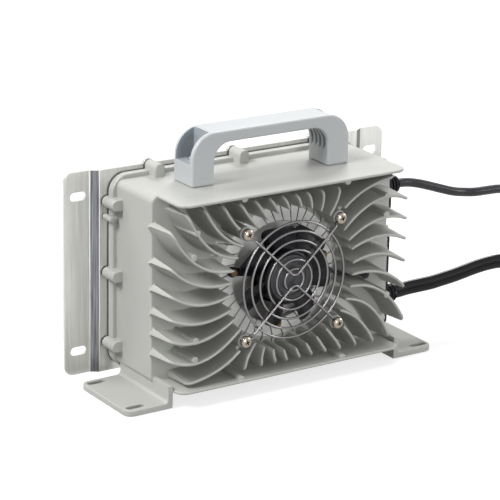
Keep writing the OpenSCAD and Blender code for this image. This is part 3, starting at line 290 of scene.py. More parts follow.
def rounded(w, h, r, x=0, z=0, steps=8):
    a, b = w / 2 - r, h / 2 - r
    return (arc(x + a, z + b, r, 0, 90, steps) + arc(x - a, z + b, r, 90, 180, steps)
            + arc(x - a, z - b, r, 180, 270, steps) + arc(x + a, z - b, r, 270, 360, steps))


def slot_outline(length, width, x=0, z=0, steps=12):
    a, r = (length - width) / 2, width / 2
    return arc(x + a, z, r, -90, 90, steps) + arc(x - a, z, r, 90, 270, steps)


def block(name, outline, d0, d1):
    """An outline of the front view, extruded from depth d0 to d1."""
    return loft(name, [[mm(x, d, z) for x, z in outline] for d in (d0, d1)])


def slab(name, outline, z0, z1, place=mm):
    """An outline seen from above, extruded from height z0 to z1."""
    return loft(name, [[place(x, d, z) for x, d in outline] for z in (z0, z1)])


def plate_on_side(name, outline, x0, x1):
    """An outline of depth and height, extruded from x0 to x1."""
    return loft(name, [[mm(x, d, z) for d, z in outline] for x in (x0, x1)])


def turned(name, profile, spot, axis="d", steps=48):
    """A closed or axial profile of (radius, length) pairs turned round an axis through spot."""
    rings = []
    for i in range(steps):
        a = 2 * math.pi * i / steps
        ring = []
        for r, s in profile:
            u, v = r * math.cos(a), r * math.sin(a)
            offset = {"d": (u, s, v), "x": (s, u, v), "z": (u, v, s)}[axis]
            ring.append(mm(*(p + q for p, q in zip(spot, offset))))
        rings.append(ring)
    n = len(profile)
    faces = [(i * n + j, i * n + (j + 1) % n, (i + 1) % steps * n + (j + 1) % n, (i + 1) % steps * n + j)
             for i in range(steps) for j in range(n)]
    made = mesh_object(name, [p for ring in rings for p in ring], faces)
    work = bmesh.new()
    work.from_mesh(made.data)
    bmesh.ops.remove_doubles(work, verts=work.verts, dist=1e-7)
    bmesh.ops.dissolve_degenerate(work, edges=work.edges, dist=1e-7)
    bmesh.ops.recalc_face_normals(work, faces=work.faces)
    work.to_mesh(made.data)
    work.free()
    return made


def rod(name, x, z, d0, d1, r, edge=0.0, steps=32):
    front = [(r - edge * (1 - math.cos(a)), edge * (1 - math.sin(a)))
             for a in (math.pi / 2 * k / 4 for k in range(5))] if edge else [(r, 0)]
    profile = [(0, 0)] + [(q, s) for q, s in reversed(front)] + [(r, d1 - d0), (0, d1 - d0)]
    return turned(name, profile, (x, d0, z), "d", steps)


# Tubes

UPWARDS, BACKWARDS = Vector((0, 0, 1)), Vector((0, 1, 0))


def curved(points, steps=4):
    """Points on a smooth line through the given ones."""
    p = [Vector(q) for q in points]
    p = [2 * p[0] - p[1]] + p + [2 * p[-1] - p[-2]]
    out = []
    for i in range(1, len(p) - 2):
        for k in range(steps):
            t = k / steps
            out.append(0.5 * (2 * p[i] + (p[i + 1] - p[i - 1]) * t
                              + (2 * p[i - 1] - 5 * p[i] + 4 * p[i + 1] - p[i + 2]) * t * t
                              + (3 * p[i] - 3 * p[i + 1] + p[i + 2] - p[i - 1]) * t ** 3))
    return out + [p[-2]]


def swept(name, path, outline, lead=UPWARDS, closed=False):
    """outline (sideways, upwards) in metres, carried along path with its up near lead."""
    rings, count = [], len(path)
    for i, spot in enumerate(path):
        if closed:
            way = unit(path[(i + 1) % count] - path[i - 1])
        else:
            way = unit(path[min(i + 1, count - 1)] - path[max(i - 1, 0)])
        side = unit(way.cross(lead))
        up = side.cross(way)
        rings.append([spot + u * side + v * up for u, v in outline])
    return loft(name, rings, closed)


def circle(r, steps=16):
    turns = [2 * math.pi * k / steps for k in range(steps)]
    return [(r / 1000 * math.cos(a), r / 1000 * math.sin(a)) for a in turns]


def eased(u):
    t = min(max(u, 0), 1)
    return t * t * (3 - 2 * t)


def hank(start, loops, side, tie_x):
    """Floor points of a tied hank of long loops. Each runs out along the lane it starts on,
    back on the far side, where it climbs if the next loop is higher, and round the near end,
    where it shifts to the next loop's radius. side is 1 if the hank lies behind its lane.
    Where the tie goes round it, the runs are lifted and drawn in by the tie's thickness."""
    x0, middle = start[0], start[1] + side * loops[0][0]

    def run(x, way, r, z):
        draw = TIE_GAP * eased((24 - abs(x - tie_x)) / 14)
        return x, middle + way * side * (r - draw), z + draw

    out = []
    for k, (r, z) in enumerate(loops):
        r2, z2 = loops[min(k + 1, len(loops) - 1)]
        out += [run(x0 + HANK_STRAIGHT * i / 8, -1, r, z) for i in range(8)]
        for i in range(16):
            a = math.pi * i / 16
            out.append((x0 + HANK_STRAIGHT + r * math.sin(a), middle - side * r * math.cos(a), z))
        for i in range(12):
            out.append(run(x0 + HANK_STRAIGHT * (1 - i / 12), 1, r, z + (z2 - z) * eased(i / 9 - 0.1)))
        for i in range(16):
            a, q = math.pi * i / 16, r + (r2 - r) * eased(i / 16)
            out.append((x0 - q * math.sin(a), middle + side * q * math.cos(a), z2))
    return out + [(x0, middle - side * loops[-1][0], loops[-1][1])]


def whole_route(route, loops, side, tail, tie_x):
    wound = hank(route[-1], loops, side, tie_x)
    end = wound[-1]
    ahead = [tuple(e + t for e, t in zip(end, step)) for step in tail]
    return [floor_mm(*p) for p in curved(route)[:-1] + wound[:-1] + curved(ahead)]


# Camera and cords


def make_camera():
    az, el, roll = (math.radians(a) for a in (CAM_AZIMUTH, CAM_ELEVATION, CAM_ROLL))
    ahead = Vector((math.sin(az) * math.cos(el), math.cos(az) * math.cos(el), -math.sin(el)))
    right = Vector((math.cos(az), -math.sin(az), 0))
    up = right.cross(ahead)
    side = right * math.cos(roll) + up * math.sin(roll)
    rise = up * math.cos(roll) - right * math.sin(roll)
    lens = bpy.data.cameras.new("photo_camera")
    lens.sensor_width = SENSOR_MM
    lens.lens = CAM_FOCAL_PX / IMAGE_PX * SENSOR_MM
    lens.clip_end = 20
    eye = bpy.data.objects.new("photo_camera", lens)
    bpy.context.scene.collection.objects.link(eye)
    where = mm(0, 0, 0) + (-ahead * CAM_DISTANCE + side * CAM_RIGHT + rise * CAM_UP) / 1000
    eye.matrix_world = Matrix.Translation(where) @ Matrix((side, rise, -ahead)).transposed().to_4x4()
    bpy.context.scene.camera = eye


make_camera()

ac_path = whole_route(AC_ROUTE, AC_LOOPS, 1, AC_TAIL, AC_TIE_X)
dc_path = whole_route(DC_ROUTE, DC_LOOPS, -1, DC_TAIL, DC_TIE_X)
mains_cord = smoothed(swept("mains_cord", ac_path, circle(AC_D / 2, 16)))


def twin_outline(r, steps=10):
    """Two round cores side by side, upright, with the web between them."""
    lobe = [(r * math.cos(a), r + r * math.sin(a))
            for a in (math.radians(-62 + 304 * k / (2 * steps)) for k in range(2 * steps + 1))]
    both = lobe + [(-u, -v) for u, v in lobe]
    return [(u / 1000, v / 1000) for u, v in both]


battery_lead = smoothed(swept("battery_lead", dc_path, twin_outline(DC_D / 2)), 50)


def hull_outline(circles):
    """The line of a cord pulled tight round circles (depth, z, radius)."""
    dots = sorted((d + r * math.cos(a), z + r * math.sin(a)) for d, z, r in circles
                  for a in (math.radians(15 * k) for k in range(24)))
    line = []
    for run in (dots, dots[::-1]):
        part = []
        for p in run:
            while len(part) > 1 and ((part[-1][0] - part[-2][0]) * (p[1] - part[-2][1])
                                     <= (part[-1][1] - part[-2][1]) * (p[0] - part[-2][0])):
                part.pop()
            part.append(p)
        line += part[:-1]
    return line


def make_tie(name, x, circles):
    """A flat band round circles (depth, z, radius), at x along the floor."""
    bands = []
    for more, half in ((TIE_T, TIE_W / 2), (TIE_CLEAR / 2, TIE_W)):
        line = hull_outline([(d, z, r + more) for d, z, r in circles])
        bands.append(loft(name, [[floor_mm(u, d, z) for d, z in line] for u in (x - half, x + half)]))
    return smoothed(cut(*bands), 40)


def loop_corners(route, loops, side, heights, r):
    """The outermost runs that a tie goes round, as (depth, z, radius)."""
    middle, reach = route[-1][1] + side * loops[0][0], loops[0][0] - TIE_GAP
    return [(middle + k * reach, z + TIE_GAP, r) for k in (-1, 1) for z in heights]


ac_tie = make_tie("mains_cord_tie", AC_TIE_X,
                  loop_corners(AC_ROUTE, AC_LOOPS, 1, (AC_D / 2, 1.5 * AC_D), AC_D / 2) + [PLUG_RELIEF_ROOM])
dc_tie = make_tie("battery_lead_tie", DC_TIE_X,
                  loop_corners(DC_ROUTE, DC_LOOPS, -1, (DC_D / 2, 3.5 * DC_D), DC_D / 2))


# Housing casting


def fin_curve(f, t):
    return tuple((1 - t) ** 2 * a + 2 * t * (1 - t) * b + t * t * c for a, b, c in zip(*f))


def fin_tangent(f, t):
    d = [(1 - t) * (b - a) + t * (c - b) for a, b, c in zip(*f)]
    size = math.hypot(*d)
    return d[0] / size, d[1] / size


def fin_profile(root, tip, front, nose):
    """(offset, depth) points across a fin: fillets at the base, a round front edge.
    nose, from 0 to 1, narrows it towards its rounded ends."""
    deep = BASE_D + 1.0
    left = [(-(root + FIN_FILLET), deep), (-(root + FIN_FILLET), BASE_D)]
    left += [(-(root + FIN_FILLET * (1 - math.sin(a))), BASE_D - FIN_FILLET * (1 - math.cos(a)))
             for a in (math.radians(k) for k in (30, 60, 90))]
    left.append((-(root + 2 * tip) / 3, BASE_D + (front - BASE_D) * 0.66))
    top = [(-tip * math.cos(a), front + tip * (1 - math.sin(a)))
           for a in (math.radians(k) for k in (0, 25, 50, 72, 90))]
    half = left + top
    return [(o * nose, d) for o, d in half] + [(-o * nose, d) for o, d in reversed(half[:-1])]


def fin_shell(name, f, mirror):
    """One swept fin. mirror turns it by half a turn."""
    chord = math.hypot(f[2][0] - f[0][0], f[2][1] - f[0][1])
    root, tip = FIN_ROOT_T / 2, FIN_TIP_T / 2
    noses = [math.radians(a) for a in (8, 30, 55, 90)]
    stations = [(root * (1 - math.cos(a)) / chord, 0.0, math.sin(a)) for a in noses]
    corner = FIN_CORNER_R / chord
    steps = 18
    low, high = stations[-1][0], 1 - corner
    stations += [(low + (high - low) * i / steps, 0.0, 1.0) for i in range(1, steps + 1)]
    for a in (math.radians(k) for k in (18, 36, 54, 68)):
        stations.append((1 - corner * (1 - math.sin(a)), FIN_CORNER_R * (1 - math.cos(a)), 1.0))
    stations.append((1 - 0.035 * corner, FIN_CORNER_R * 0.78, 0.86))
    stations.append((1.0, FIN_CORNER_R * 0.98, 0.5))
    rings = []
    for t, drop, nose in stations:
        x, z = fin_curve(f, t)
        u, v = fin_tangent(f, t)
        rings.append([mm(mirror * (x - o * v), d, mirror * (z + o * u))
                      for o, d in fin_profile(root, tip, FIN_D + drop, nose)])
    return loft(name, rings)


def fan_floor():
    """The fins' low roots, which close up to a floor round the fan, with slits between them."""
    ends = []
    for f in FINS:
        u, v = fin_tangent(f, 0)
        ends += [(m * f[0][0], m * f[0][1], m * u, m * v) for m in (1, -1)]
    ends.sort(key=lambda e: math.atan2(e[1], e[0]))
    slits = []
    for one, other in zip(ends, ends[1:] + ends[:1]):
        x, z, u, v = ((p + q) / 2 for p, q in zip(one, other))
        slits.append(block("slit", [(x + s * u - o * v, z + s * v + o * u) for s, o in ROOT_SLIT],
                           BASE_D - ROOT_H - 1, BASE_D + 0.3))
    profile = [(ROOT_R, 1), (ROOT_R, 0.4 - ROOT_H), (ROOT_R + 0.4, -ROOT_H), (ROOT_OUT_R, -ROOT_H), (ROOT_END_R, 1)]
    return cut(turned("roots", profile, (0, BASE_D, 0), "d", 96), joined("slits", slits))


def boss_outline(x, z):
    """A rear screw boss: round away from the wall, and straight back into it."""
    sideways = abs(x) > HALF_W
    turn = (0 if x > 0 else 180) if sideways else (90 if z > 0 else 270)
    reach = (BOSS_OUT_X if sideways else BOSS_OUT_Z) + 1.5
    u, v = math.cos(math.radians(turn)), math.sin(math.radians(turn))
    back = [(x - reach * u - s * BOSS_R * v, z - reach * v + s * BOSS_R * u) for s in (1, -1)]
    return arc(x, z, BOSS_R, turn - 90, turn + 90, 16) + back


def boss_places():
    sides = [(s * (HALF_W + BOSS_OUT_X), k * BOSS_PITCH_Z) for s in (-1, 1) for k in (-1, 0, 1)]
    return sides + [(k * BOSS_PITCH_X, s * (HALF_H + BOSS_OUT_Z)) for s in (-1, 1) for k in (-1, 0, 1)]


def guard_places():
    return [(i * GUARD_PITCH / 2, k * GUARD_PITCH / 2) for i in (-1, 1) for k in (-1, 1)]


def plate_outline():
    w, back = HALF_W - BODY_R, BASE_D + 3
    return ([(-w, back)] + arc(-w + PLATE_R, PLATE_R, PLATE_R, 180, 270, 10)
            + arc(w - PLATE_R, PLATE_R, PLATE_R, 270, 360, 10) + [(w, back)])


def make_plates():
    shells = []
    for side in (-1, 1):
        z0, z1 = sorted((side * HALF_H, side * (HALF_H - PLATE_T)))
        plate = bevelled(slab("plate", plate_outline(), z0, z1), 0.8, 3)
        for i in (-1, 1):
            rib = rod("rib", i * PLATE_RIB_X, side * (HALF_H - PLATE_T), 1.2, BASE_D + 1, PLATE_RIB_R, 0.6, 24)
            above = rounded(12, 6, 0.5, i * PLATE_RIB_X, side * (HALF_H + 2.6))
            plate = fused(plate, cut(rib, block("trim", above, 0, BASE_D + 2)))
        shells.append(plate)
    return joined("plates", shells)


def foot_shell(side):
    """A slotted flange on the floor and a leg up the wall, with a fillet between them."""
    inner, outer = HALF_W - FOOT_LEG_T, HALF_W + FOOT_OUT
    d0, d1 = FOOT_D, FOOT_D + FOOT_LEN
    outline = ([(inner, d1), (inner, d0)] + arc(outer - FOOT_R, d0 + FOOT_R, FOOT_R, 270, 360, 8)
               + arc(outer - FOOT_R, d1 - FOOT_R, FOOT_R, 0, 90, 8))
    flange = bevelled(slab("foot", [(side * x, d) for x, d in outline], 0, FOOT_T, floor_mm), 0.8, 3)
    top = AXIS_Z - HALF_H + BODY_R
    leg_x = inner + FOOT_LEG_T - 1.5
    fillet = [(leg_x + FOOT_FILLET * (1 - math.sin(a)), FOOT_T + FOOT_FILLET * (1 - math.cos(a)))
              for a in (math.radians(k) for k in (0, 30, 60, 90))]
    section = [(inner, 1), (leg_x + FOOT_FILLET, 1)] + fillet + [(leg_x, top), (inner, top)]
    leg = loft("leg", [[floor_mm(side * x, d, z) for x, z in section] for d in (d0, d1)])
    foot = fused(flange, bevelled(leg, 0.6, 2, 60))
    slot_x = side * (HALF_W + FOOT_SLOT_X)
    slots = [slot_outline(*FOOT_SLOT, slot_x, FOOT_SLOT_D + k * FOOT_SLOT_PITCH) for k in (0, 1)]
    return cut(foot, *[slab("slot", slot, -1, FOOT_T + 1, floor_mm) for slot in slots])


def entry_outline(low, height, more=0.0, corner=2):
    """The outline of an entry plate, or of its pad with more all round."""
    return rounded(ENTRY_LEN + 2 * more, height + 2 * more, corner, ENTRY_START + ENTRY_LEN / 2, low + height / 2)


def make_housing():
    tub = bevelled(block("housing_cast", rounded(BODY_W, BODY_H, BODY_R), BASE_D, CASE_DEPTH), 1.1, 4)
    rim = bevelled(block("rim", rounded(BODY_W + 2 * RIM_OUT, BODY_H + 2 * RIM_OUT, RIM_R, steps=14),
                         CASE_DEPTH - RIM_LEN, CASE_DEPTH), 0.9, 3)
    bosses = [block("boss", boss_outline(*at), CASE_DEPTH - BOSS_LEN, CASE_DEPTH) for at in boss_places()]
    bosses = joined("bosses", [bevelled(boss, 0.7, 3, 60) for boss in bosses])
    pads = [plate_on_side("pad", entry_outline(*at, PAD_RIM, 4), HALF_W - 1, PAD_FACE) for at in ENTRY_PLATES]
    pads = joined("pads", [bevelled(pad, 0.7, 3) for pad in pads])
    cavity = block("cavity", rounded(BODY_W - 2 * WALL_T, BODY_H - 2 * WALL_T, BODY_R - 1),
                   BASE_D + BASE_T, CASE_DEPTH + 1)
    fins = joined("fins", [fin_shell("fin", f, m) for f in FINS for m in (1, -1)])
    fins = cut(fins, *[rod("clear", x, z, 0, SCREW_CLEAR_D, SCREW_CLEAR_R, 0, 40) for x, z in guard_places()])
    peg_shape = [(0, 0), (EJECTOR_R - 0.5, 0), (EJECTOR_R - 0.15, 0.15), (EJECTOR_R, 0.5),
                 (EJECTOR_ROOT_R, BASE_D - FIN_D), (0, BASE_D - FIN_D)]
    ejectors = joined("ejectors", [turned("ejector", peg_shape, (x, FIN_D + 0.2, z)) for x, z in EJECTORS])
    pillars = joined("pillars", [rod("pillar", x, z, PILLAR_D, BASE_D + 1, PILLAR_R, 0.6) for x, z in guard_places()])
    rim_x, peg_d = -HALF_W - RIM_OUT, CASE_DEPTH - PEG_LEN
    peg = rod("peg", rim_x - PEG_R, PEG_Z, peg_d, CASE_DEPTH, PEG_R, 0.5, 24)
    web = block("web", rounded(2 * PEG_R, PEG_R, 0.5, rim_x, PEG_Z), peg_d + 0.6, CASE_DEPTH)
    tub = cut(fused(tub, rim, bosses, pads, foot_shell(-1), foot_shell(1), peg, web), cavity)
    return smoothed(fused(tub, fan_floor(), fins, ejectors, pillars, make_plates()), 38)


housing = make_housing()


# Back plate


def fold_section():
    """The plate's section seen from above: a straight slope between two tight bends."""
    a = math.radians(FOLD_ANGLE)
    reach = FOLD_BEND * math.tan(a / 2)
    middle = FOLD_X + FOLD_W / 2
    inner, outer = middle - EAR_STEP / math.tan(a) / 2, middle + EAR_STEP / math.tan(a) / 2
    line = [(0, 0)]
    for k in range(7):
        t = a * k / 6
        line.append((inner - reach + FOLD_BEND * math.sin(t), FOLD_BEND * (1 - math.cos(t))))
    for k in range(7):
        t = a * (1 - k / 6)
        line.append((outer + reach - FOLD_BEND * math.sin(t), EAR_STEP - FOLD_BEND * (1 - math.cos(t))))
    line.append((EAR_SPAN / 2, EAR_STEP))
    front = [(x, BACK_D + d) for x, d in line]
    rear = [(x, d + BACK_T) for x, d in front]
    right = front[1:] + rear[:0:-1]
    left = [(-x, d) for x, d in rear[1:]] + [(-x, d) for x, d in front[:0:-1]]
    return right + left


def make_back_plate():
    plate = slab("back_cover", fold_section(), -80, 80)
    d0, d1 = BACK_D - 2, TOTAL_DEPTH + 2
    tabs = [block("tab", boss_outline(x, z), d0, d1) for x, z in boss_places() if abs(x) < HALF_W]
    keep = fused(block("keep", rounded(EAR_SPAN, BACK_H, EAR_R), d0, d1), *tabs)
    plate = combined(plate, [keep], "INTERSECT")
    slot_x, slot_z = EAR_SPAN / 2 - EAR_SLOT_IN, EAR_SLOT_PITCH / 2
    slots = [block("slot", slot_outline(*EAR_SLOT, i * slot_x, k * slot_z), d0, d1) for i in (-1, 1) for k in (-1, 1)]
    return smoothed(bevelled(cut(plate, *slots), 0.25, 2, 60), 40)


back_cover = make_back_plate()


# Handle


def handle_outline():
    w, top = HANDLE_W / 2, HALF_H + HANDLE_H
    inner, under = w - LEG_W, top - GRIP_T
    outer = [(-w, HALF_H)] + arc(-w + HANDLE_R, top - HANDLE_R, HANDLE_R, 180, 90, 14)
    outer += arc(w - HANDLE_R, top - HANDLE_R, HANDLE_R, 90, 0, 14) + [(w, HALF_H)]
    inside = [(inner, HALF_H)] + arc(inner - HANDLE_IN_R, under - HANDLE_IN_R, HANDLE_IN_R, 0, 90, 12)
    inside += arc(-inner + HANDLE_IN_R, under - HANDLE_IN_R, HANDLE_IN_R, 90, 180, 12) + [(-inner, HALF_H)]
    return outer + inside


def make_handle():
    """The handle, with a pocket, a hollow under its ledge, and corner slots at each end."""
    d0, d1, middle = HANDLE_D, HANDLE_D + HANDLE_LEN, HANDLE_D + HANDLE_LEN / 2
    handle = bevelled(block("carry_handle", handle_outline(), d0, d1), 1.3, 4, 50)
    leg_x, ledge = HANDLE_W / 2 - LEG_W / 2, HALF_H + LEDGE_H
    inside_w, inside_len = LEG_W - 2 * HANDLE_WALL, HANDLE_LEN - 2 * HANDLE_WALL
    corner_x, corner_z = HANDLE_W / 2 - LEG_W - HANDLE_IN_R, HALF_H + HANDLE_H - GRIP_T - HANDLE_IN_R
    first = d0 + (HANDLE_LEN - SLOT_COUNT * SLOT_PITCH + SLOT_RIB) / 2
    for i in (-1, 1):
        pocket = slab("pocket", rounded(LEG_W, inside_len, 1.5, i * (leg_x + HANDLE_WALL), middle),
                      ledge, HALF_H + HANDLE_H + 5)
        hollow = slab("hollow", rounded(inside_w, inside_len, 1, i * leg_x, middle), HALF_H - 1, ledge - LEDGE_T)
        slots = [rod("corner_slot", i * (corner_x + SLOT_SHIFT), corner_z + SLOT_SHIFT, d, d + SLOT_PITCH - SLOT_RIB,
                     HANDLE_IN_R - 0.4, 0, 64) for d in (first + k * SLOT_PITCH for k in range(SLOT_COUNT))]
        handle = cut(handle, pocket, hollow, *slots)
    return smoothed(handle, 40)


carry_handle = make_handle()


# Guard and its screws


def ring(name, x, d, z, r, steps=96):
    turns = [2 * math.pi * k / steps for k in range(steps)]
    path = [mm(x + r * math.cos(a), d, z + r * math.sin(a)) for a in turns]
    return swept(name, path, circle(WIRE_D / 2, 12), BACKWARDS, True)


def v_wire(name, flip):
    """A V in front of the rings, that steps back to the eyelets beyond the outer ring."""
    eye = GUARD_PITCH / 2 - EYE_R * math.cos(math.pi / 4)
    way = math.atan2(eye - V_BEND_Z, eye)
    centre = V_BEND_Z + V_BEND_R / math.cos(way)
    turns = [way * k / 6 for k in range(-6, 7)]
    bend = [(V_BEND_R * math.sin(a), V_FRONT_D, centre - V_BEND_R * math.cos(a)) for a in turns]
    leg = []
    for share in (k / 8 for k in range(9)):
        s = V_KINK * share
        leg.append((eye - s * math.cos(way), V_D + (V_FRONT_D - V_D) * eased(share), eye - s * math.sin(way)))
    path = [mm(x, d, flip * z) for x, d, z in [(-x, d, z) for x, d, z in leg] + bend + leg[::-1]]
    return swept(name, path, circle(WIRE_D / 2, 12), BACKWARDS)


def make_guard():
    shells = [ring("ring", 0, GUARD_D, 0, RING_R - k * RING_PITCH) for k in range(RING_COUNT)]
    shells += [ring("eye", x, V_D, z, EYE_R, 40) for x, z in guard_places()]
    shells += [v_wire("v", 1), v_wire("v", -1)]
    return smoothed(joined("guard_wires", shells), 60)


def pan_screw(x, d, z):
    """A domed head facing the front, with a cross recess, its seat at depth d."""
    r, h = GUARD_HEAD_R, GUARD_HEAD_H
    dome = [(r * math.sin(a), -h + h * 0.55 * (1 - math.cos(a))) for a in (math.radians(k) for k in range(0, 91, 10))]
    head = turned("head", [(0, -h)] + dome[1:] + [(r * 0.99, -0.15 * h), (r * 0.93, 0), (0, 0)], (x, d, z))
    wide, half = r * CROSS_REACH, CROSS_HALF_W
    corners = [(-wide, -half), (wide, -half), (wide, half), (-wide, half)]
    for turn in (0, 90):
        p, q = math.cos(math.radians(turn + CROSS_TURN)), math.sin(math.radians(turn + CROSS_TURN))
        rings = [[mm(x + u * share * p - v * q, d + depth, z + u * share * q + v * p) for u, v in corners]
                 for share, depth in ((1.15, -h - 1), (0.55, -h / 4))]
        head = cut(head, loft("recess", rings))
    return head


guard_wires = make_guard()
guard_screws = smoothed(joined("guard_screw_heads", [
    pan_screw(x, V_D - WIRE_D / 2, z) for x, z in guard_places()]), 30)


# Impeller


def blade_shell(k):
    """A broad, cambered blade whose tip has round corners. s runs from its root to its tip, and
    u across it."""
    rings, across, root_r = [], 14, HUB_R - 0.6
    for s in (0, 0.15, 0.3, 0.45, 0.6, 0.72, 0.8, 0.86, 0.91, 0.95, 0.98, 1.0):
        r = root_r + (FAN_TIP_R - root_r) * s
        pitch = math.radians(BLADE_ROOT_PITCH - BLADE_TWIST * s)
        corner = 1 - math.sqrt(max(0.0, 1 - (max(0.0, s - 0.74) / 0.26) ** 2))
        chord = BLADE_CHORD * (0.84 + 0.3 * s) * (1 - 0.28 * corner)
        points = []
        for side in (-1, 1):
            row = []
            for j in range(across + 1):
                u = j / across - 0.5
                edge = max(0.12, math.sqrt(max(0.0, 1 - (2 * u) ** 6)))
                turn = u * chord * math.cos(pitch) / r + math.radians(BLADE_START + 360 * k / BLADE_COUNT)
                d = u * chord * math.sin(pitch) + side * BLADE_T / 2 * edge - BLADE_CAMBER * (1 - 4 * u * u)
                row.append(mm(r * math.cos(turn), HUB_D + HUB_LEN / 2 + 0.4 + d, r * math.sin(turn)))
            points += row if side < 0 else row[::-1]
        rings.append(points)
    return loft("blade", rings)


def make_impeller():
    bore = HUB_R - HUB_WALL
    profile = [(0, 0.5), (2.6, 0.5), (3.0, 0.0), (10.4, 0.0), (10.7, 0.5), (11.3, 0.5), (11.6, 0.0), (14.9, 0.0),
               (15.4, 0.25), (15.6, 0.7), (16.2, 0.9), (HUB_R - 1.2, 1.3), (HUB_R - 0.4, 2.0), (HUB_R, 3.2),
               (HUB_R, HUB_LEN), (bore, HUB_LEN), (bore, HUB_WALL), (0, HUB_WALL)]
    hub = turned("fan_rotor", profile, (0, HUB_D, 0), "d", 96)
    return smoothed(fused(hub, joined("blades", [blade_shell(k) for k in range(BLADE_COUNT)])), 40)


fan_rotor = make_impeller()

# Fan lead, glands and entry plates

fan_wire = smoothed(swept("fan_wire", [mm(*p) for p in curved(LEAD_ROUTE, 6)], circle(LEAD_R, 12), BACKWARDS))


def make_gland(name, z, mouth):
    """Ribs that narrow outwards, turned round the gland's own axis along x."""
    pitch = GLAND_LEN / (GLAND_RIBS + 0.5)
    profile = [(0, -2), (GLAND_R, -2), (GLAND_R, 0)]
    for k in range(GLAND_RIBS):
        r, s = GLAND_R - 0.05 * k * k, k * pitch
        groove = r - GLAND_GROOVE
        profile += [(r, s + 0.2), (r, s + pitch * 0.5), (r - 0.25, s + pitch * 0.62), (groove, s + pitch * 0.66),
                    (groove, s + pitch * 0.97), (r - 0.5, s + pitch)]
    profile += [(mouth, GLAND_LEN - 0.3), (mouth - 0.3, GLAND_LEN), (0, GLAND_LEN)]
    return smoothed(turned(name, profile, (ENTRY_FACE, ENTRY_D, z), "x", 56), 30)


gland_upper = make_gland("gland_upper", ENTRY_Z, AC_D / 2 + 1.6)
gland_lower = make_gland("gland_lower", -ENTRY_Z, GLAND_R - 0.6)


def entry_cover(name, place):
    return smoothed(bevelled(plate_on_side(name, entry_outline(*place), PAD_FACE, ENTRY_FACE), 0.5, 3))


entry_upper = entry_cover("entry_cover_upper", ENTRY_PLATES[0])
entry_lower = entry_cover("entry_cover_lower", ENTRY_PLATES[1])

# Plug and connector

# Sections (depth, height, corner radius), and places along x from the inner end of each
PLUG_SECTION, PLUG_FROM, PLUG_TO, PLUG_RELIEF_LEN = (24, 22, 6), 26, 50, 28
NECK_SECTION, NECK_TO, HEAD_SECTION, HEAD_FROM = (12, 16.4, 2), 20, (16, 16.4, 2), 19.5
GRIP_SECTION, GRIP_FROM, GRIP_TO, GRIP_PITCH, GRIP_Z = (20, 1.2, 0.4), 4, 5.4, 3, 8.3
MOUTH_SECTION, MOUTH_FROM, MOUTH_Z = (11, 5.8, 1.2), 28, 4


def ends_and_middle(node):
    """Where a node lies, in part millimetres: its two ends in x, and its middle in d and z."""
    low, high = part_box(node)
    return low.x * 1000, high.x * 1000, (low.y + high.y) * 500 + TOTAL_DEPTH / 2, (low.z + high.z) * 500 - AXIS_Z


def plug_parts():
    x, _, d, z = ends_and_middle("ac_plug")
    profile = [(0.0, 0.0), (3.9, 0.0), (4.1, 0.4)]
    for k in range(5):
        s, r = 3 + 4.2 * k, 4.1 + 0.5 * k
        profile += [(r, s - 0.4), (r - 0.7, s), (r - 0.7, s + 1.4), (r + 0.15, s + 1.8)]
    profile += [(6.6, 25), (6.6, PLUG_RELIEF_LEN), (0, PLUG_RELIEF_LEN)]
    relief = turned("plug_relief", profile, (x, d, z), "x", 40)
    body = bevelled(plate_on_side("plug_body", rounded(*PLUG_SECTION, d, z), x + PLUG_FROM, x + PLUG_TO), 2.0, 4)
    return smoothed(fused(body, relief), 35)


plug_body = plug_parts()


def connector_parts():
    x, end, d, z = ends_and_middle("dc_connector")
    neck = bevelled(plate_on_side("connector_body", rounded(*NECK_SECTION, d, z), x, x + NECK_TO), 0.8, 3)
    head = bevelled(plate_on_side("head", rounded(*HEAD_SECTION, d, z), x + HEAD_FROM, end), 0.7, 3)
    grips = [plate_on_side("grip", rounded(*GRIP_SECTION, d, z + i * GRIP_Z),
                           x + GRIP_FROM + GRIP_PITCH * k, x + GRIP_TO + GRIP_PITCH * k)
             for k in range(4) for i in (-1, 1)]
    mouths = [plate_on_side("mouth", rounded(*MOUTH_SECTION, d, z + i * MOUTH_Z), x + MOUTH_FROM, end + 1)
              for i in (-1, 1)]
    return smoothed(cut(fused(neck, head), *mouths, *grips), 35)


connector_body = connector_parts()

# Materials


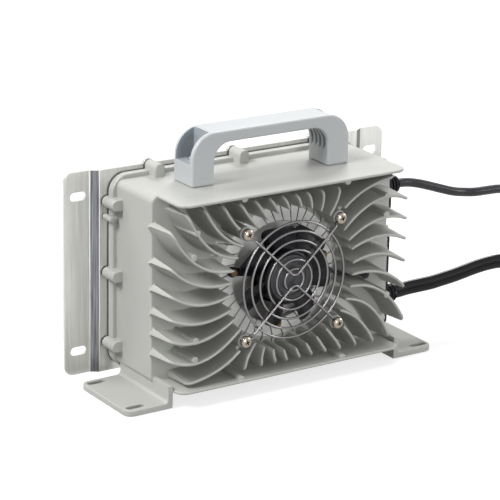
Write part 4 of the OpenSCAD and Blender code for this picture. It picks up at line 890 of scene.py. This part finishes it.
def material(name, colour, metal=0.0, rough=0.5, bump=0.0, scale=400.0, spots=0.04, stretch=(1, 1, 1), shine=0.5,
             grain=False):
    """A surface with a small spread of tone, roughness and height from noise in object space.
    spots is the spread of its tones, which grain puts in the fine noise. shine is its specular level."""
    made = bpy.data.materials.new(name)
    made.use_nodes = True
    nodes, links = made.node_tree.nodes, made.node_tree.links
    shader = nodes["Principled BSDF"]
    shader.inputs["Metallic"].default_value = metal
    shader.inputs["Specular IOR Level"].default_value = shine
    where = nodes.new("ShaderNodeTexCoord")
    sized = nodes.new("ShaderNodeMapping")
    sized.inputs["Scale"].default_value = stretch
    links.new(where.outputs["Object"], sized.inputs["Vector"])
    fine = nodes.new("ShaderNodeTexNoise")
    fine.inputs["Scale"].default_value = scale
    fine.inputs["Detail"].default_value = 4
    broad = nodes.new("ShaderNodeTexNoise")
    broad.inputs["Scale"].default_value = 22
    broad.inputs["Detail"].default_value = 3
    links.new(sized.outputs["Vector"], fine.inputs["Vector"])
    links.new(where.outputs["Object"], broad.inputs["Vector"])
    tone = nodes.new("ShaderNodeValToRGB")
    tone.color_ramp.elements[0].color = (*[c * (1 - spots) for c in colour], 1)
    tone.color_ramp.elements[1].color = (*[min(1, c * (1 + spots)) for c in colour], 1)
    tone.color_ramp.elements[0].position = 0.3
    tone.color_ramp.elements[1].position = 0.7
    links.new((fine if grain else broad).outputs["Fac"], tone.inputs["Fac"])
    links.new(tone.outputs["Color"], shader.inputs["Base Color"])
    gloss = nodes.new("ShaderNodeMapRange")
    gloss.inputs["To Min"].default_value = max(0.02, rough - 0.07)
    gloss.inputs["To Max"].default_value = min(1, rough + 0.07)
    links.new(fine.outputs["Fac"], gloss.inputs["Value"])
    links.new(gloss.outputs["Result"], shader.inputs["Roughness"])
    if bump:
        relief = nodes.new("ShaderNodeBump")
        relief.inputs["Strength"].default_value = bump
        relief.inputs["Distance"].default_value = 0.0002
        links.new(fine.outputs["Fac"], relief.inputs["Height"])
        links.new(relief.outputs["Normal"], shader.inputs["Normal"])
    return made


LOOKS = {
    "cast_paint": material("cast_paint", (0.42, 0.425, 0.4), 0, 0.4, 0.25, 1800, 0.03, shine=0.35),
    # Painted light: a much paler copy of the cast paint, on the shaded floor round the fan
    "cast_paint_painted_light": material("cast_paint_painted_light", (0.78, 0.785, 0.76), 0, 0.4, 0.25, 1800, 0.04, shine=0.35),
    "black_rubber": material("black_rubber", (0.03, 0.03, 0.033), 0, 0.6, 0.2, 900),
    "plate_steel": material("plate_steel", (0.63, 0.63, 0.605), 1, 0.33, 0.4, 900, 0.07, (1, 1, 0.03), grain=True),
    # Painted reflection: a dark copy of the plate steel on the fold's slopes, for the darker surroundings they face
    "plate_steel_painted_reflection": material("plate_steel_painted_reflection", (0.17, 0.175, 0.185), 1, 0.3, 0.6, 1400, 0.6, (1, 1, 0.02), grain=True),
    "screw_steel": material("screw_steel", (0.62, 0.62, 0.63), 1, 0.3, 0.1, 700),
    "handle_plastic": material("handle_plastic", (0.44, 0.455, 0.465), 0, 0.42, 0.12, 1400, 0.02),
    # Painted shade: a darker, bluer copy of the handle plastic for the inside of its pockets
    "handle_painted_shade": material("handle_painted_shade", (0.31, 0.345, 0.37), 0, 0.45, 0.12, 1400, 0.02),
    "black_plastic": material("black_plastic", (0.008, 0.0085, 0.011), 0, 0.28, 0.06, 1200, shine=0.18),
    "brass": material("brass", (0.13, 0.095, 0.05), 1, 0.35, 0.05, 800),
    "copper_winding": material("copper_winding", (0.42, 0.17, 0.06), 0.6, 0.35, 0.4, 300),
    "ferrite": material("ferrite", (0.07, 0.07, 0.075), 0, 0.6, 0.2, 900),
    "chrome_wire": material("chrome_wire", (0.2, 0.19, 0.195), 1, 0.22, 0.02, 500),
    "head_nickel": material("head_nickel", (0.32, 0.28, 0.235), 1, 0.2, 0.05, 500),
    "board_green": material("board_green", (0.02, 0.12, 0.05), 0, 0.35, 0.1, 500),
    "winding_tape": material("winding_tape", (0.62, 0.46, 0.06), 0, 0.35, 0.1, 300),
    "sleeve_plastic": material("sleeve_plastic", (0.03, 0.035, 0.06), 0, 0.3, 0.05, 500),
    "bar_aluminium": material("bar_aluminium", (0.6, 0.61, 0.62), 1, 0.35, 0.2, 500, 0.04, (1, 1, 0.05)),
    "pad_silicone": material("pad_silicone", (0.5, 0.56, 0.6), 0, 0.7, 0.1, 600),
    "fuse_glass": material("fuse_glass", (0.75, 0.76, 0.74), 0, 0.2, 0.02, 500),
    "cord_rubber": material("cord_rubber", (0.013, 0.0137, 0.0165), 0, 0.28, 0.1, 700, shine=0.35),
    "hub_face": material("hub_face", (0.045, 0.046, 0.05), 0, 0.45, 0.1, 1200),
    "cord_gloss": material("cord_gloss", (0.004, 0.0042, 0.0055), 0, 0.1, 0, 300, shine=0.25),
    "connector_plastic": material("connector_plastic", (0.16, 0.17, 0.18), 0, 0.45, 0.15, 900)}


def dress(item, slot, look=None):
    item.data.materials.clear()
    item.data.materials.append(LOOKS[look or slot])


for part in frame["record"]["subparts"]:
    dress(frame["nodes"][part["node"]], part["material_slot"])

MADE = [(housing, "cast_paint", "charger", ["housing"]),
        (back_cover, "plate_steel", "charger", ["back_plate"]),
        (carry_handle, "handle_plastic", "charger", ["handle"]),
        (guard_wires, "chrome_wire", "charger", ["fan_guard"]),
        (guard_screws, "chrome_wire", "charger", ["guard_screws"]),
        (fan_rotor, "black_plastic", "rotor", ["impeller"]),
        (fan_wire, "cord_rubber", "charger", ["fan_lead"]),
        (gland_upper, "black_plastic", "charger", ["ac_gland"]),
        (gland_lower, "black_plastic", "charger", ["dc_gland"]),
        (entry_upper, "black_plastic", "charger", ["ac_entry_plate"]),
        (entry_lower, "black_plastic", "charger", ["dc_entry_plate"]),
        (mains_cord, "cord_rubber", "charger", ["ac_cord", "ac_coil"]),
        (battery_lead, "cord_rubber", "charger", ["dc_cord", "dc_coil"]),
        (ac_tie, "black_rubber", "charger", []),
        (dc_tie, "black_rubber", "charger", []),
        (plug_body, "cord_rubber", "charger", ["ac_plug"]),
        (connector_body, "connector_plastic", "charger", ["dc_connector"])]
for item, slot, body, nodes in MADE:
    dress(item, slot, {guard_screws: "head_nickel", battery_lead: "cord_gloss"}.get(item))
    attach(item, body)
    if nodes:
        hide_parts(*nodes)


def touch_up(item, look, chosen):
    """A second look on the faces that chosen picks by their centre and normal, in millimetres."""
    item.data.materials.append(LOOKS[look])
    for face in item.data.polygons:
        x, d, z = face.center * 1000 - mm(0, 0, 0) * 1000
        if chosen(x, d, z, face.normal):
            face.material_index = 1


# The faces of the floor round the fan, which get the painted light
def painted_light_by_fan(x, d, z, normal):
    return normal.y < -0.9 and abs(d - BASE_D) < 6 and math.hypot(x, z) < 46


# The fold's slanted faces, which get the painted dark reflection
def painted_reflection_on_fold(x, d, z, normal):
    return 0.35 < abs(normal.x) < 0.8 and abs(normal.z) < 0.3


def painted_shade_in_pocket(x, d, z, normal):
    """The ledge and the three walls of a pocket in the handle, but not the walls' rims: the faces that get painted
    shade.
    """
    wall_x = HANDLE_W / 2 - LEG_W + HANDLE_WALL
    between = (abs(x) > wall_x - 0.1 and HALF_H + LEDGE_H - 3 < z < HALF_H + HANDLE_H - 0.5
               and abs(d - HANDLE_D - HANDLE_LEN / 2) < HANDLE_LEN / 2 - HANDLE_WALL + 0.1)
    facing = abs(normal.y) > 0.7 or abs(normal.z) > 0.9 or normal.x * x < 0
    return between and (facing or abs(x) < wall_x + 0.3)


def on_hub_face(x, d, z, normal):
    return normal.y < -0.5 and d < HUB_D + 0.8 and math.hypot(x, z) < 15.5


# Painted light on the floor round the fan
touch_up(housing, "cast_paint_painted_light", painted_light_by_fan)
# A painted dark reflection on the fold's slopes
touch_up(back_cover, "plate_steel_painted_reflection", painted_reflection_on_fold)
# Painted shade in the handle's pockets
touch_up(carry_handle, "handle_painted_shade", painted_shade_in_pocket)
touch_up(fan_rotor, "hub_face", on_hub_face)

# Stage and light

# The floor's tone under the object and away from it, for the light it throws back, and how the camera sees it
FLOOR_NEAR, FLOOR_FAR, FLOOR_NEAR_R, FLOOR_FAR_R = 0.24, 0.12, 0.16, 0.5
FLOOR_GLOW, FLOOR_PALE, FLOOR_HALF, FLOOR_DROP = 0.74, 0.35, 3.0, 0.0003
SKY_LOW, SKY_HIGH, SKY_HIGH_FROM = 0.1, 0.55, 0.9
# Name, place, size and power of each lamp
LAMP_TARGET = (0, 0, 0.08)
LAMPS = [("key", (-1.2, -0.05, 1.25), 0.6, 24),
         ("left_rear", (-0.85, 0.85, 1.25), 0.6, 8),
         ("right_rear", (0.85, 0.85, 1.25), 0.6, 12),
         ("right_front", (1.45, -0.85, 0.55), 0.6, 8),
         ("axis", (-0.1, -1.7, 0.2), 0.7, 11)]


def seen_white(nodes, links, lit, shown):
    """shown where the camera or a mirror looks, and lit wherever light falls."""
    ray, mix = nodes.new("ShaderNodeLightPath"), nodes.new("ShaderNodeMixShader")
    seen = [ray.outputs[k] for k in ("Is Camera Ray", "Is Glossy Ray", "Is Transmission Ray")]
    for other in seen[1:]:
        either = nodes.new("ShaderNodeMath")
        either.operation = "MAXIMUM"
        links.new(seen[0], either.inputs[0])
        links.new(other, either.inputs[1])
        seen[0] = either.outputs["Value"]
    links.new(seen[0], mix.inputs["Fac"])
    links.new(lit, mix.inputs[1])
    links.new(shown, mix.inputs[2])
    return mix.outputs["Shader"]


def white_glow(nodes, strength):
    glow = nodes.new("ShaderNodeEmission")
    glow.inputs["Color"].default_value = (1, 1, 1, 1)
    glow.inputs["Strength"].default_value = strength
    return glow.outputs["Emission"]


def make_stage():
    corners = [(i * FLOOR_HALF, k * FLOOR_HALF, 0) for i, k in ((-1, -1), (1, -1), (1, 1), (-1, 1))]
    floor = mesh_object("floor", corners, [(0, 1, 2, 3)])
    floor.location.z = -FLOOR_DROP
    made = bpy.data.materials.new("floor_white")
    made.use_nodes = True
    nodes, links = made.node_tree.nodes, made.node_tree.links
    shader = nodes["Principled BSDF"]
    shader.inputs["Roughness"].default_value = 0.9
    where, middle, tone = (nodes.new("ShaderNode" + k) for k in ("TexCoord", "VectorMath", "MapRange"))
    middle.operation = "LENGTH"
    tone.inputs["From Min"].default_value = FLOOR_NEAR_R
    tone.inputs["From Max"].default_value = FLOOR_FAR_R
    tone.inputs["To Min"].default_value = FLOOR_NEAR
    tone.inputs["To Max"].default_value = FLOOR_FAR
    links.new(where.outputs["Object"], middle.inputs[0])
    links.new(middle.outputs["Value"], tone.inputs["Value"])
    links.new(tone.outputs["Result"], shader.inputs["Base Color"])
    pale, both = nodes.new("ShaderNodeBsdfDiffuse"), nodes.new("ShaderNodeAddShader")
    pale.inputs["Color"].default_value = (FLOOR_PALE, FLOOR_PALE, FLOOR_PALE, 1)
    links.new(pale.outputs["BSDF"], both.inputs[0])
    links.new(white_glow(nodes, FLOOR_GLOW), both.inputs[1])
    seen = seen_white(nodes, links, shader.outputs["BSDF"], both.outputs["Shader"])
    links.new(seen, nodes["Material Output"].inputs["Surface"])
    floor.data.materials.append(made)


def area_light(name, where, size, power):
    lamp = bpy.data.lights.new(name, "AREA")
    lamp.shape = "DISK"
    lamp.size = size
    lamp.energy = power
    item = bpy.data.objects.new(name, lamp)
    item.location = where
    item.rotation_euler = (Vector(LAMP_TARGET) - Vector(where)).to_track_quat("-Z", "Y").to_euler()
    bpy.context.scene.collection.objects.link(item)


def make_light():
    """A white studio: bright above, dim round the horizon."""
    world = bpy.data.worlds.new("studio")
    bpy.context.scene.world = world
    world.use_nodes = True
    nodes, links = world.node_tree.nodes, world.node_tree.links
    lit = nodes["Background"]
    where, split, height = (nodes.new("ShaderNode" + k) for k in ("TexCoord", "SeparateXYZ", "MapRange"))
    height.interpolation_type = "SMOOTHSTEP"
    height.inputs["From Max"].default_value = SKY_HIGH_FROM
    height.inputs["To Min"].default_value = SKY_LOW
    height.inputs["To Max"].default_value = SKY_HIGH
    links.new(where.outputs["Generated"], split.inputs["Vector"])
    links.new(split.outputs["Z"], height.inputs["Value"])
    links.new(height.outputs["Result"], lit.inputs["Strength"])
    lit.inputs["Color"].default_value = (1, 1, 1, 1)
    seen = seen_white(nodes, links, lit.outputs["Background"], white_glow(nodes, 1.0))
    links.new(seen, nodes["World Output"].inputs["Surface"])
    for lamp in LAMPS:
        area_light(*lamp)


make_stage()
make_light()
bpy.context.scene.view_settings.view_transform = "Standard"
